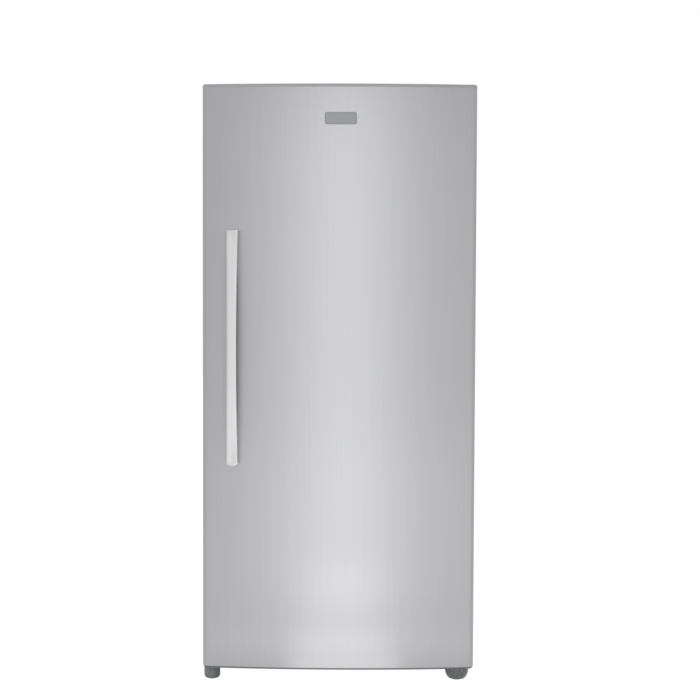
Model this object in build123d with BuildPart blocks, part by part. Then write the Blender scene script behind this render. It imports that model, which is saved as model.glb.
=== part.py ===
from build123d import *

import os
from math import atan2, cos, degrees, pi, radians, sin, sqrt

os.makedirs("parts", exist_ok=True)

# A single door refrigerator without a freezer. The front faces -Y, +Z is up, and the
# origin lies on the floor under the middle of the whole outline.

# Overall form
width = 828.0
door_height = 1772.0
door_clearance = 57.0  # floor to the lower edge of the door
door_edge = 60.0  # thickness of the door at its sides
door_bow = 22.0  # how far the middle of the door stands out before its sides
door_corner = 12.0
seal_gap = 10.0  # door to cabinet, filled by the gasket
cabinet_depth = 590.0
case_drop = 12.0  # top of the door above the top of the cabinet
case_bottom = 45.0
sheet = 1.0  # steel
plastic = 2.0  # liners
wall = 2.5  # moulded boxes and covers
touch = 0.3  # air between soft or sliding faces
running = 0.06  # radial clearance of a shaft in its bore

# Handle and badge
handle_inset = 93.0  # middle of the bar from the left side of the door
handle_low = 680.0
handle_high = 1390.0
handle_width = 36.0
handle_waist = 31.0
handle_rise = 52.0  # middle of the bar's outer face before the door
handle_end = 24.0  # outer face before the door at both ends
handle_bar = 17.0
handle_foot = 62.0  # length of each seat on the door
handle_tip = 8.0  # height of the rounded lower end
stud_radius = 4.0
stud_out = 14.0
stud_in = 16.0
nut_radius = 8.0
nut_thick = 6.0
badge_size = (96.0, 36.0)
badge_x = 3.0
badge_drop = 103.0  # middle of the badge below the top of the door
badge_thick = 2.5
badge_round = 6.0

# Door structure
top_cap_height = 9.5
bottom_cap_height = 5.0
cap_plug = 8.0
skin_lip = 14.0
ridge_gap = 18.0  # between the liner's ridge and the wall of the cabinet
ridge_thick = 39.0
ridge_bottom = 93.0  # from the lower end of the door
ridge_top = 129.0  # from the upper end
ridge_rise = 85.0
ridge_round = 9.0
ridge_corner = 30.0
ridge_taper = 3.0
low_corner = 12.0
high_corner = 9.0
liner_margin = 4.0
liner_corner = 8.0
lug_height = 6.0
lug_reach = 8.0
lug_length = 44.0
lug_setback = 20.0
gasket_over = 3.0  # past the hinge axis
gasket_width = 20.0
gasket_bottom = 19.0  # from the lower end of the door
gasket_top = 24.0  # from the upper end

# Cabinet structure
flange = 25.0  # folded front edges of the steel case
return_flange = 20.0
bend = 3.0
side_foam = 55.0  # case outside to liner outside
back_foam = 50.0
deck_height = 71.0  # underside of the deck below the foam
liner_floor = 120.0
machine_depth = 190.0
machine_roof = 235.0
hump_foam = 43.0
hump_slope = 25.0
liner_round = 18.0
bead_margin = 120.0
bead_width = 40.0
bead_x = 138.0  # each bead from the middle
rail_width = 60.0
rail_wall = 2.5
boss_radius = 13.0
boss_drop = 6.0
base_plate = 2.0

# Hinge
pin_radius = 5.0
pin_inset = 15.0  # from the side of the door
pin_setback = 30.0  # before the rear face of the door
bushing_wall = 3.0
bushing_length = 22.0
hinge_plate = 3.0
hinge_width = 20.0
collar = 2.0
pin_length = 20.0
arm_gap = 0.5
hinge_base = 96.0
hinge_rise = 12.0
hinge_cover_margin = 2.0
hinge_cover_width = 54.0
hinge_cover_length = 108.0
hinge_cover_height = 20.5
hinge_cover_chamfer = 3.0
low_plate_width = 60.0
low_plate_height = 24.0

# Feet and rollers
foot_setback = 95.0  # behind the front edges of the door
foot_left_inset = 21.0
foot_left_radius = 25.0
foot_left_tread = 11.0
foot_left_chamfer = 13.0
foot_right_inset = 43.0
foot_right_radius = 36.5
foot_right_tread = 15.0
foot_right_edge = 33.0
foot_right_bowl = (0.12, 0.3, 0.6)  # shares of the flank's height
foot_height = 41.0
stem_air = 2.0
stem_radius = 6.0
roller_radius = 20.0
roller_width = 18.0
roller_side = 64.0  # from the side of the cabinet
roller_inset = 60.0  # before the back of the cabinet
axle_radius = 4.0
ear_gap = 1.0
ear_foot = 26.0

# Shelves, drawers and bins
shelf_front = 110.0  # behind the cabinet's front
shelf_depth = 340.0
shelf_heights = (630.0, 905.0, 1180.0, 1450.0)
glass = 4.0
ledge_width = 14.0
ledge_height = 8.0
trim_depth = 14.0
trim_height = 14.0
trim_chamfer = 3.0
crisper_corner = 16.0
crisper_chamfer = 6.0
crisper_taper = 2.0
crisper_front = 112.0
crisper_depth = 235.0
crisper_height = 180.0
crisper_lift = 6.0
crisper_air = 2.0  # between a drawer's side and its ledge
crisper_rim = 10.0
rim_thick = 3.0
crisper_grip = 14.0
divider_web = 10.0
divider_ledge = 20.0
cover_air = 14.0  # over the drawers' rims
cover_frame = 16.0
cover_bar = 34.0
glass_seat = 9.0
glass_air = 0.5
bin_depth = 92.0
bin_heights = (110.0, 90.0, 90.0)
bin_floors = (205.0, 585.0, 965.0)
bin_corner = 22.0
bin_air = 1.0
bin_rim = 4.0
bin_rim_height = 6.0
dairy_drop = 349.0  # its floor below the top of the door
dairy_height = 126.0
dairy_depth = 84.0
lid_pin_radius = 2.0
lid_setback = 4.0
lid_drop = 6.0
lid_ear = 4.5
lid_barrel = 3.5
lid_air = 0.5
lid_grip = 9.0

# Cooling
duct_width = 560.0
duct_drop = 72.0  # below the ceiling
duct_height = 500.0
duct_depth = 76.0
coil_width = 400.0
coil_depth = 40.0
tube_radius = 4.0
tube_sides = 6
fan_radius = 55.0
fan_hub = 15.0
fan_blades = 5
shaft_radius = 3.0
trough_depth = 62.0
trough_height = 26.0
trough_lift = 10.0  # above the lower end of the duct cover
trough_margin = 15.0  # past each end of the coil
trough_drop = 8.0  # air between the gutter and the coil
coil_pitch = 36.0
coil_passes = 5
coil_tube = 5.0
coil_stand = 14.0
bracket_x = 100.0
bracket_width = 12.0
fan_bar = 16.0
fin_pitch = 40.0
fin_count = 9
fin_thick = 1.5
evaporator_fan_drop = 160.0  # below the upper end of the duct cover
duct_taper = 4.0
duct_chamfer = 9.0
vent_margin = 38.0
vent_pitch = 84.0
vent_length = 64.0
vent_width = 9.0
vent_count = 6
drain_radius = 8.0
drain_x = -150.0
drain_stub = 40.0  # tube below the machine room's roof

# Machine room
compressor_x = 190.0
compressor_radius = 72.0
compressor_lower = 52.0
compressor_upper = 18.0
compressor_round = 12.0
dome_angles = (0, 30, 60, 80)  # degrees, bands of the domed lid
pot_sides = 24
weld_flange = 6.0
grommet_height = 16.0
grommet_radius = 11.0
grommet_sides = 8
mount_span = (186.0, 116.0)
leg_plate = 3.0
condenser_side = 42.0
condenser_right = -158.0
condenser_low = 106.0
condenser_pitch = 29.0
condenser_passes = 4
condenser_depth = 60.0
pan_side = 18.0
pan_right = -110.0
pan_height = 28.0
pan_margin = 10.0
pan_round = 12.0
fan_z = 142.0
condenser_fan_x = -70.0
motor_radius = 25.0
motor_length = 34.0
stand_margin = 15.0
stand_lean = 80.0  # degrees
stand_foot = 24.0
fan_depth = 22.0
fan_gap = 2.0
blade_thick = 1.6
blade_angle = 32.0  # degrees
blade_chord = 30.0
blade_camber = 3.0
hanger_width = 30.0
relay_size = (34.0, 36.0, 46.0)
relay_lift = 22.0
relay_sink = 6.0
relay_round = 5.0
stub_offset = 34.0
stub_height = 62.0
stub_length = 12.0
line_run = 22.0
line_z = 212.0
filter_offset = 58.0
filter_z = 175.0
filter_radius = 9.0
filter_length = 58.0
slot_length = 64.0
slot_width = 7.0
slot_pitch = 50.0
slot_bridge = 12.0
slot_columns = 14
inlet_side = 42.0
inlet_z = 140.0
inlet_width = 28.0
inlet_height = 20.0
inlet_depth = 24.0
inlet_chamfer = 3.0
blade_pitch = 7.0
blade_reach = 14.0
blade_size = (2.0, 4.0)
earth_rise = 2.0

# Controls
control_width = 360.0
control_setback = 100.0
control_depth = 140.0
control_height = 46.0
knob_x = -110.0
knob_radius = 20.0
knob_depth = 16.0
plunger_x = 250.0
plunger_radius = 4.0
plunger_length = 42.0
plunger_drop = 18.0  # axis below the ceiling
switch_setback = 6.0
switch_width = 26.0
switch_height = 30.0
switch_depth = 46.0
switch_round = 4.0
plunger_tip = 1.5
control_round = 6.0
knob_base = 6.0
knob_grip = 18.0  # half its length
knob_grip_half = 4.4  # half its width
knob_taper = 3.0
knob_bush = 7.0
knob_shaft_length = 14.0
lens_x = 60.0
lens_length = 190.0
lens_width = 84.0
lens_lip = 8.0
lens_drop = 7.0
lens_edge = 1.0
lens_round = 8.0
window_round = 6.0

# Places worked out from the sizes above
half = width / 2
handle_x = handle_inset - half
foot_left_x = foot_left_inset - half
foot_right_x = half - foot_right_inset
roller_x = half - roller_side
inlet_x = half - inlet_side
condenser_left = condenser_side - half
pan_left = pan_side - half
bow_radius = (half**2 + door_bow**2) / (2 * door_bow)


def bow_at(x):
    """How far the door's face stands before its side edges at x."""
    return sqrt(bow_radius**2 - x**2) - (bow_radius - door_bow)


handle_reach = bow_at(handle_x) + handle_rise
total_depth = handle_reach + door_edge + seal_gap + cabinet_depth
door_front = handle_reach - total_depth / 2
door_rear = door_front + door_edge
cab_front = door_rear + seal_gap
cab_back = cab_front + cabinet_depth
door_top = door_clearance + door_height
badge_z = door_top - badge_drop
ridge_low = door_clearance + ridge_bottom
ridge_high = door_top - ridge_top
gasket_low = door_clearance + gasket_bottom
gasket_high = door_top - gasket_top
dairy_floor = door_top - dairy_drop
cab_top = door_top - case_drop
skin_rear = door_rear - plastic
inner = half - sheet  # inside of the steel case
liner_out = half - side_foam
liner_in = liner_out - plastic
ridge_out = liner_in - ridge_gap
ridge_in = ridge_out - ridge_thick
ceiling = cab_top - side_foam
duct_high = ceiling - duct_drop
duct_low = duct_high - duct_height
evaporator_fan_z = duct_high - evaporator_fan_drop
liner_back = cab_back - 2 * sheet - back_foam - plastic
machine_front = cab_back - machine_depth
hump_y = machine_front - sheet - hump_foam - plastic
hump_top = machine_roof + sheet + hump_foam + plastic
skin_low = door_clearance + bottom_cap_height
skin_high = door_top - top_cap_height
pin_x = half - pin_inset
pin_y = door_rear - pin_setback
bushing_radius = pin_radius + bushing_wall
pin_bore = pin_radius + running
foot_y = door_front + foot_setback
machine_mid = (machine_front + cab_back) / 2
shelf_y = cab_front + shelf_front
duct_front = liner_back - duct_depth
handle_surface = door_front - bow_at(handle_x)
roller_y = cab_back - roller_inset
drain_y = cab_back - 2 * sheet - back_foam / 2
drain_end = machine_roof - drain_stub
plunger_z = ceiling - plunger_drop
crisper_floor = liner_floor + crisper_lift
crisper_top = crisper_floor + crisper_height
crisper_y = cab_front + crisper_front
crisper_in = divider_ledge + crisper_air
crisper_out = liner_in - ledge_width - crisper_air
runner_z = crisper_top - rim_thick - touch
cover_z = crisper_top + cover_air
trough_z = duct_low + trough_lift
coil_low = trough_z + trough_height + trough_drop
plate_top = case_bottom + sheet + base_plate
rail_height = deck_height - case_bottom


def keep(piece, name):
    """Label a finished piece and write it."""
    piece.part.label = name
    export_step(piece.part, f"parts/{name}.step")


def many_sided(x, y, profile):
    """A solid about an upright axis, flat sided, from pairs of radius and height."""
    with BuildPart() as solid:
        for ends in zip(profile, profile[1:]):
            # each band is drawn in from its wider end
            (narrow_radius, narrow), (wide_radius, wide) = sorted(ends)
            with BuildSketch(Plane.XY.offset(wide)):
                with Locations((x, y)):
                    RegularPolygon(wide_radius, pot_sides)
            inward = (wide_radius - narrow_radius) * cos(pi / pot_sides)
            extrude(amount=narrow - wide, taper=degrees(atan2(inward, abs(narrow - wide))))
    return solid.part


# Steel case


def fold(plane, start, points, reach, side):
    """A sheet folded along points in a plane, then extruded by reach."""
    with BuildPart() as panel:
        with BuildSketch(plane.offset(start)):
            with BuildLine():
                FilletPolyline(*points, radius=bend)
                offset(amount=sheet, side=side)
            make_face()
        extrude(amount=reach)
    return panel.part


side_panel = fold(
    Plane.XY,
    case_bottom,
    [
        (flange - half, cab_front),
        (-half, cab_front),
        (-half, cab_back - sheet),
        (return_flange - half, cab_back - sheet),
    ],
    cab_top - sheet - case_bottom,
    Side.RIGHT,
)
with BuildPart() as side_panel_left:
    add(side_panel)
keep(side_panel_left, "side_panel_left")

with BuildPart() as side_panel_right:
    mirror(side_panel, about=Plane.YZ)
keep(side_panel_right, "side_panel_right")

top_sheet = fold(
    Plane.YZ,
    -half,
    [
        (cab_front, cab_top - flange),
        (cab_front, cab_top),
        (cab_back - sheet, cab_top),
        (cab_back - sheet, cab_top - return_flange),
    ],
    width,
    Side.RIGHT,
)
with BuildPart() as top_panel:
    add(top_sheet)
    # notches for the upper ends of the side panels
    for notch_x in (-half, half - flange):
        with BuildSketch(Plane.XY.offset(cab_top - flange)):
            with Locations((notch_x, cab_front)):
                Rectangle(flange, cabinet_depth, align=(Align.MIN, Align.MIN))
        extrude(amount=flange - sheet, mode=Mode.SUBTRACT)
keep(top_panel, "top_panel")

with BuildPart() as back_panel:
    with BuildSketch(Plane.XZ.offset(-cab_back)):
        with Locations((0, machine_roof + sheet)):
            Rectangle(width, cab_top - machine_roof - sheet, align=(Align.CENTER, Align.MIN))
    extrude(amount=sheet)
    # pressed beads that stiffen the sheet
    with BuildSketch(Plane.XZ.offset(sheet - cab_back)):
        with GridLocations(2 * bead_x, 0, 2, 1):
            with Locations((0, (machine_roof + cab_top) / 2)):
                SlotOverall(cab_top - machine_roof - 2 * bead_margin, bead_width, rotation=90)
    extrude(amount=sheet)
keep(back_panel, "back_panel")

deck_sheet = fold(
    Plane.YZ,
    -inner,
    [
        (cab_front, deck_height + flange),
        (cab_front, deck_height),
        (machine_front, deck_height),
        (machine_front, machine_roof),
        (cab_back - sheet - bend, machine_roof),
    ],
    2 * inner,
    Side.LEFT,
)
with BuildPart() as bottom_deck:
    add(deck_sheet)
    # notches for the front flanges of the side panels
    for notch_x in (-inner, half - flange):
        with BuildSketch(Plane.XY.offset(deck_height)):
            with Locations((notch_x, cab_front)):
                Rectangle(flange - sheet, bend + sheet, align=(Align.MIN, Align.MIN))
        extrude(amount=flange, mode=Mode.SUBTRACT)
    with Locations((drain_x, drain_y, machine_roof + sheet)):
        Hole(drain_radius, depth=2 * sheet)
keep(bottom_deck, "bottom_deck")

# Insulation and liner


def cavity(grow):
    """The room inside the liner with its compressor hump, swollen by grow."""
    with BuildPart() as room:
        with BuildSketch(Plane.YZ.offset(-liner_in - grow)):
            with BuildLine():
                Polyline(
                    (cab_front, liner_floor - grow),
                    (hump_y + grow, liner_floor - grow),
                    (hump_y + hump_slope + grow, hump_top - grow),
                    (liner_back + grow, hump_top - grow),
                    (liner_back + grow, ceiling + grow),
                    (cab_front, ceiling + grow),
                    close=True,
                )
            make_face()
        extrude(amount=2 * (liner_in + grow))
        along = room.edges().filter_by(Axis.Y) + room.edges().group_by(Axis.Y)[-1]
        fillet(along.sort_by(Axis.Y), radius=liner_round + grow)
    return room.part


room_inside = cavity(0)
room_outside = cavity(plastic)

with BuildPart() as drain_trough:
    # a sloped gutter below the coil
    with BuildSketch(Plane.XY.offset(trough_z)):
        with Locations((0, liner_back)):
            Rectangle(coil_width + 2 * trough_margin, trough_depth, align=(Align.CENTER, Align.MAX))
    extrude(amount=trough_height)
    offset(amount=-wall, openings=drain_trough.faces().sort_by(Axis.Z)[-1])
    # its outlet bends through the liner and runs down inside the rear foam
    with BuildLine() as drain_path:
        Polyline(
            (drain_x, liner_back - wall, trough_z + drain_radius + 1),
            (drain_x, drain_y, trough_z + drain_radius + 1),
            (drain_x, drain_y, drain_end),
        )
    with BuildSketch(Plane(drain_path.line @ 0, z_dir=drain_path.line % 0)):
        Circle(drain_radius)
    sweep(transition=Transition.RIGHT)
    with BuildSketch(Plane(drain_path.line @ 0, z_dir=drain_path.line % 0)):
        Circle(drain_radius - plastic)
    sweep(path=drain_path.line, transition=Transition.RIGHT, mode=Mode.SUBTRACT)
keep(drain_trough, "drain_trough")

with BuildPart() as drain_space:
    with BuildLine() as space_path:
        add(drain_path.line)
    with BuildSketch(Plane(space_path.line @ 0, z_dir=space_path.line % 0)):
        Circle(drain_radius)
    sweep(transition=Transition.RIGHT)

with BuildPart() as cabinet_foam:
    with BuildSketch(Plane.YZ.offset(-inner)):
        with BuildLine():
            Polyline(
                (cab_front + plastic, deck_height + sheet),
                (machine_front - sheet, deck_height + sheet),
                (machine_front - sheet, machine_roof + sheet),
                (cab_back - 2 * sheet, machine_roof + sheet),
                (cab_back - 2 * sheet, cab_top - sheet),
                (cab_front + plastic, cab_top - sheet),
                close=True,
            )
        make_face()
    extrude(amount=2 * inner)
    # outer edges that lie in the bends of the steel case
    edges = cabinet_foam.edges()
    inward = edges.filter_by(Axis.X).filter_by(
        lambda edge: edge.center().Y > machine_front - bend and edge.center().Z < machine_roof + bend
    )
    chamfer(edges.filter_by(Axis.X) - inward.sort_by(Axis.Z)[-2:] + edges.filter_by(Axis.Z), length=bend)
    add(room_outside, mode=Mode.SUBTRACT)
    add(drain_space.part, mode=Mode.SUBTRACT)
keep(cabinet_foam, "cabinet_foam")


def ledge(height, depth, start, rise=ledge_height):
    """Both formed ledges at one height, on the side walls of the liner."""
    with BuildPart() as pair:
        with BuildSketch(Plane.XZ.offset(-start)):
            for side in (-1, 1):
                with BuildLine():
                    Polyline(
                        (side * (liner_in + touch), height),
                        (side * (liner_in - ledge_width), height),
                        (side * (liner_in - ledge_width), height - rise / 2),
                        (side * (liner_in + touch), height - rise - ledge_width / 2),
                        close=True,
                    )
                make_face()
        extrude(amount=-depth)
    return pair.part


ledges = [ledge(shelf_z, shelf_depth, shelf_y) for shelf_z in shelf_heights]
ledges.append(ledge(cover_z, shelf_depth, shelf_y))
ledges.append(ledge(runner_z, crisper_depth, cab_front + crisper_front))

with BuildPart() as inner_liner:
    add(room_outside)
    with BuildSketch(Plane.XZ.offset(-cab_front)):
        with Locations((0, (deck_height + flange + cab_top - flange) / 2)):
            Rectangle(width - 2 * flange, cab_top - deck_height - 2 * flange)
    extrude(amount=-plastic)
    add(room_inside, mode=Mode.SUBTRACT)
    for pair in ledges:
        add(pair)
    add(drain_space.part, mode=Mode.SUBTRACT)
keep(inner_liner, "inner_liner")

# Base


def channel(plane, length):
    """A rail with turned down edges, its web on top, drawn on its end plane."""
    with BuildPart() as rail:
        with BuildSketch(plane):
            Rectangle(rail_width, rail_height, align=(Align.CENTER, Align.MIN))
            with Locations((0, -rail_wall)):
                Rectangle(
                    rail_width - 2 * rail_wall, rail_height,
                    align=(Align.CENTER, Align.MIN), mode=Mode.SUBTRACT,
                )
        extrude(amount=length)
    return rail.part


rail_y = cab_front + bend + rail_width / 2
rails_back = machine_front - cab_front - bend - rail_width
with BuildPart() as base_frame:
    add(channel(Plane((-inner, rail_y, case_bottom), x_dir=(0, 1, 0), z_dir=(1, 0, 0)), 2 * inner))
    for side in (-1, 1):
        rail_x = side * (inner - rail_width / 2)
        add(channel(
            Plane((rail_x, machine_front, case_bottom), x_dir=(1, 0, 0), z_dir=(0, -1, 0)),
            rails_back,
        ))
    # threaded bosses for the leveling feet
    with Locations(
        (foot_left_x, foot_y, case_bottom + boss_drop),
        (foot_right_x, foot_y, case_bottom + boss_drop),
    ):
        Cylinder(boss_radius, rail_height - boss_drop, align=(Align.CENTER, Align.CENTER, Align.MIN))
    with Locations((foot_left_x, foot_y, deck_height), (foot_right_x, foot_y, deck_height)):
        Hole(stem_radius + running, depth=rail_height)
keep(base_frame, "base_frame")

with BuildPart() as compressor_base_plate:
    with BuildSketch(Plane.XY.offset(case_bottom + sheet)):
        with Locations((0, machine_front)):
            Rectangle(2 * inner, machine_depth - sheet - bend, align=(Align.CENTER, Align.MIN))
    extrude(amount=base_plate)
    # ears that carry the rear rollers, with their riveted axles
    for side in (-1, 1):
        for ear in (-1, 1):
            ear_x = side * roller_x + ear * (roller_width / 2 + ear_gap + base_plate / 2)
            with BuildSketch(Plane.YZ.offset(ear_x - base_plate / 2)):
                with BuildLine():
                    Polyline(
                        (roller_y - ear_foot, case_bottom + sheet),
                        (roller_y + ear_foot, case_bottom + sheet),
                        (roller_y + axle_radius * 2, roller_radius - axle_radius * 2),
                        (roller_y - axle_radius * 2, roller_radius - axle_radius * 2),
                        close=True,
                    )
                make_face()
            extrude(amount=base_plate)
        with Locations(Location((side * roller_x, roller_y, roller_radius), (0, 90, 0))):
            Cylinder(axle_radius, roller_width + 2 * (ear_gap + base_plate) + 2 * touch)
keep(compressor_base_plate, "compressor_base_plate")


def roller(x):
    """A hard wheel with the bore for its axle."""
    with BuildPart() as wheel:
        with BuildSketch(Plane.YZ.offset(x - roller_width / 2)):
            with Locations((roller_y, roller_radius)):
                Circle(roller_radius)
                Circle(axle_radius + running, mode=Mode.SUBTRACT)
        extrude(amount=roller_width)
    return wheel


rear_roller_left = roller(-roller_x)
keep(rear_roller_left, "rear_roller_left")
rear_roller_right = roller(roller_x)
keep(rear_roller_right, "rear_roller_right")


def leveling_foot(x, radius, tread, bowl, edge):
    """A round foot on its stem; bowl lists the heights of the bands of a curved flank."""
    with BuildPart() as foot:
        with BuildSketch(Plane((x, foot_y, 0), x_dir=(1, 0, 0), z_dir=(0, -1, 0))):
            with BuildLine():
                flank = [(tread + (radius - tread) * sqrt(1 - (1 - s) ** 2), edge * s) for s in bowl]
                Polyline(
                    (0, 0), (tread, 0), *flank, (radius, edge), (radius, foot_height),
                    (stem_radius, foot_height), (stem_radius, deck_height - stem_air),
                    (0, deck_height - stem_air), close=True,
                )
            make_face()
        revolve(axis=Axis((x, foot_y, 0), (0, 0, 1)))
    return foot


leveling_foot_left = leveling_foot(
    foot_left_x, foot_left_radius, foot_left_tread, (), foot_left_chamfer
)
keep(leveling_foot_left, "leveling_foot_left")
leveling_foot_right = leveling_foot(
    foot_right_x, foot_right_radius, foot_right_tread, foot_right_bowl, foot_right_edge
)
keep(leveling_foot_right, "leveling_foot_right")

# Machine room

with BuildPart() as machine_cover:
    with BuildSketch(Plane.XZ.offset(-cab_back)):
        with Locations((0, case_bottom + sheet)):
            Rectangle(width, machine_roof - case_bottom - sheet, align=(Align.CENTER, Align.MIN))
        with Locations((0, (case_bottom + machine_roof) / 2)):
            with GridLocations(slot_pitch, slot_length + slot_bridge, slot_columns, 2):
                Rectangle(slot_width, slot_length, mode=Mode.SUBTRACT)
        with Locations((inlet_x, inlet_z)):
            Rectangle(inlet_width, inlet_height, mode=Mode.SUBTRACT)
    extrude(amount=sheet)
keep(machine_cover, "machine_cover")

with BuildPart() as power_inlet:
    with BuildSketch(Plane.XZ.offset(-cab_back)) as inlet_face:
        with Locations((inlet_x, inlet_z)):
            Rectangle(inlet_width, inlet_height)
        chamfer(inlet_face.vertices().group_by(Axis.Y)[0], length=inlet_chamfer)
    extrude(amount=inlet_depth)
    # recess with its three blades
    with BuildSketch(Plane.XZ.offset(-cab_back)):
        with Locations((inlet_x, inlet_z)):
            Rectangle(inlet_width - 2 * wall, inlet_height - 2 * wall)
    extrude(amount=inlet_depth - wall, mode=Mode.SUBTRACT)
    with BuildSketch(Plane.XZ.offset(inlet_depth - wall - cab_back)):
        with Locations(
            (inlet_x - blade_pitch, inlet_z), (inlet_x, inlet_z + earth_rise),
            (inlet_x + blade_pitch, inlet_z),
        ):
            Rectangle(*blade_size)
    extrude(amount=-blade_reach)
keep(power_inlet, "power_inlet")

pot_x = compressor_x
pot_low = plate_top + grommet_height + leg_plate
stub_z = pot_low + stub_height
stub_end = pot_x - compressor_radius - stub_length
with BuildPart() as compressor:
    seam = pot_low + compressor_lower
    shoulder = seam + weld_flange / 2 + compressor_upper
    dome = [
        (compressor_radius * cos(rise), shoulder + compressor_radius * sin(rise))
        for rise in (radians(angle) for angle in dome_angles)
    ]
    pot = [
        (compressor_radius - compressor_round, pot_low),
        (compressor_radius, pot_low + compressor_round),
        *dome,
    ]
    add(many_sided(pot_x, machine_mid, pot))
    # flange where the two halves of the shell are welded
    with BuildSketch(Plane.XY.offset(seam)):
        with Locations((pot_x, machine_mid)):
            RegularPolygon(compressor_radius + weld_flange, pot_sides)
    extrude(amount=weld_flange / 2)
    # leg plate with a hole over each mount
    with BuildSketch(Plane.XY.offset(pot_low - leg_plate)):
        with Locations((pot_x, machine_mid)):
            RectangleRounded(
                mount_span[0] + 2 * grommet_radius, mount_span[1] + 2 * grommet_radius, grommet_radius
            )
            with GridLocations(*mount_span, 2, 2):
                Circle(stud_radius, mode=Mode.SUBTRACT)
    extrude(amount=leg_plate)
    # stub tubes for the refrigerant lines
    for stub_y in (machine_mid - stub_offset, machine_mid + stub_offset):
        with BuildSketch(Plane((pot_x, stub_y, stub_z), z_dir=(-1, 0, 0))):
            RegularPolygon(tube_radius, tube_sides)
        extrude(amount=compressor_radius + stub_length)
keep(compressor, "compressor")

with BuildPart() as compressor_mounts:
    with BuildSketch(Plane.XY.offset(plate_top)):
        with Locations((pot_x, machine_mid)):
            with GridLocations(*mount_span, 2, 2):
                RegularPolygon(grommet_radius, grommet_sides)
                RegularPolygon(stud_radius, grommet_sides, mode=Mode.SUBTRACT)
    extrude(amount=grommet_height)
keep(compressor_mounts, "compressor_mounts")

with BuildPart() as relay_cover:
    with BuildSketch(Plane.XY.offset(pot_low + relay_lift)):
        with Locations((pot_x - compressor_radius - relay_size[0] / 2 + relay_sink, machine_mid)):
            RectangleRounded(relay_size[0], relay_size[1], relay_round)
    extrude(amount=relay_size[2])
    add(compressor.part, mode=Mode.SUBTRACT)
keep(relay_cover, "relay_cover")


def serpentine(first, second, low, pitch, passes):
    """Corner points of a tube that runs to and fro between two sides, from below."""
    points = []
    for row in range(passes):
        z = low + row * pitch
        ends = [first, second] if row % 2 == 0 else [second, first]
        points += [(x, z) for x in ends]
    return points


def tube(points):
    """A thin tube, six sided, along straight runs with mitred corners."""
    with BuildPart() as pipe:
        with BuildLine() as route:
            Polyline(*points)
        with BuildSketch(Plane(route.line @ 0, z_dir=route.line % 0)):
            RegularPolygon(tube_radius, tube_sides)
        sweep(transition=Transition.RIGHT)
    return pipe.part


with BuildPart() as condenser_coil:
    # flat tube folded to and fro
    with BuildSketch(Plane.XZ.offset(-machine_mid - condenser_depth / 2)):
        with BuildLine():
            FilletPolyline(
                *serpentine(
                    condenser_right, condenser_left, condenser_low, condenser_pitch, condenser_passes
                ),
                radius=condenser_pitch / 2 - touch,
            )
            offset(amount=coil_tube, side=Side.LEFT)
        make_face()
    extrude(amount=condenser_depth)
    # hangers from the roof of the machine room
    for hanger_x in (condenser_left + condenser_pitch, condenser_right - condenser_pitch):
        with BuildSketch(Plane.YZ.offset(hanger_x)):
            with Locations((machine_mid, machine_roof)):
                Rectangle(
                    hanger_width, machine_roof - condenser_low + 2 * tube_radius,
                    align=(Align.CENTER, Align.MAX),
                )
        extrude(amount=base_plate)
keep(condenser_coil, "condenser_coil")

with BuildPart() as drain_pan:
    with BuildSketch(Plane.XY.offset(plate_top)):
        with Locations(((pan_left + pan_right) / 2, machine_mid)):
            RectangleRounded(pan_right - pan_left, machine_depth - 2 * pan_margin - 2 * sheet, pan_round)
    extrude(amount=pan_height)
    offset(amount=-wall, openings=drain_pan.faces().sort_by(Axis.Z)[-1])
keep(drain_pan, "drain_pan")


def fan_wheel(axle, radius, hub, depth):
    """A wheel with cambered blades, on a plane whose normal is its axle."""
    with BuildPart() as wheel:
        with BuildSketch(axle.offset(-depth / 2)):
            Circle(hub)
            Circle(shaft_radius + running, mode=Mode.SUBTRACT)
        extrude(amount=depth)
        for blade in range(fan_blades):
            turn = radians(blade * 360 / fan_blades)
            outward = axle.x_dir * cos(turn) + axle.y_dir * sin(turn)
            sideways = axle.y_dir * cos(turn) - axle.x_dir * sin(turn)
            along = sideways * cos(radians(blade_angle)) + axle.z_dir * sin(radians(blade_angle))
            with BuildSketch(Plane(axle.origin + outward * (hub - 1), x_dir=along, z_dir=outward)):
                with BuildLine():
                    ThreePointArc((-blade_chord / 2, 0), (0, blade_camber), (blade_chord / 2, 0))
                    offset(amount=blade_thick, side=Side.LEFT)
                make_face()
            extrude(amount=radius - hub + 1)
    return wheel


condenser_axle = Plane((condenser_fan_x, machine_mid, fan_z), x_dir=(0, 1, 0), z_dir=(-1, 0, 0))
condenser_fan_blade = fan_wheel(condenser_axle, fan_radius, fan_hub, fan_depth)
keep(condenser_fan_blade, "condenser_fan_blade")

with BuildPart() as condenser_fan_motor:
    with BuildSketch(condenser_axle.offset(-fan_depth / 2 - fan_gap)):
        Circle(motor_radius)
    extrude(amount=-motor_length)
    with BuildSketch(condenser_axle.offset(-fan_depth / 2 - fan_gap)):
        Circle(shaft_radius)
    extrude(amount=fan_depth + fan_gap)
    # sheet stand with its foot on the base plate
    stand_x = condenser_fan_x + fan_depth / 2 + fan_gap + motor_length
    with BuildSketch(Plane.YZ.offset(stand_x)):
        with Locations((machine_mid, plate_top)):
            Trapezoid(
                2 * (motor_radius + stand_margin), fan_z - plate_top + motor_radius, stand_lean,
                align=(Align.CENTER, Align.MIN),
            )
    extrude(amount=base_plate)
    with BuildSketch(Plane.XY.offset(plate_top)):
        with Locations((stand_x, machine_mid)):
            Rectangle(
                stand_foot, 2 * (motor_radius + stand_margin), align=(Align.MIN, Align.CENTER)
            )
    extrude(amount=base_plate)
keep(condenser_fan_motor, "condenser_fan_motor")

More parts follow.
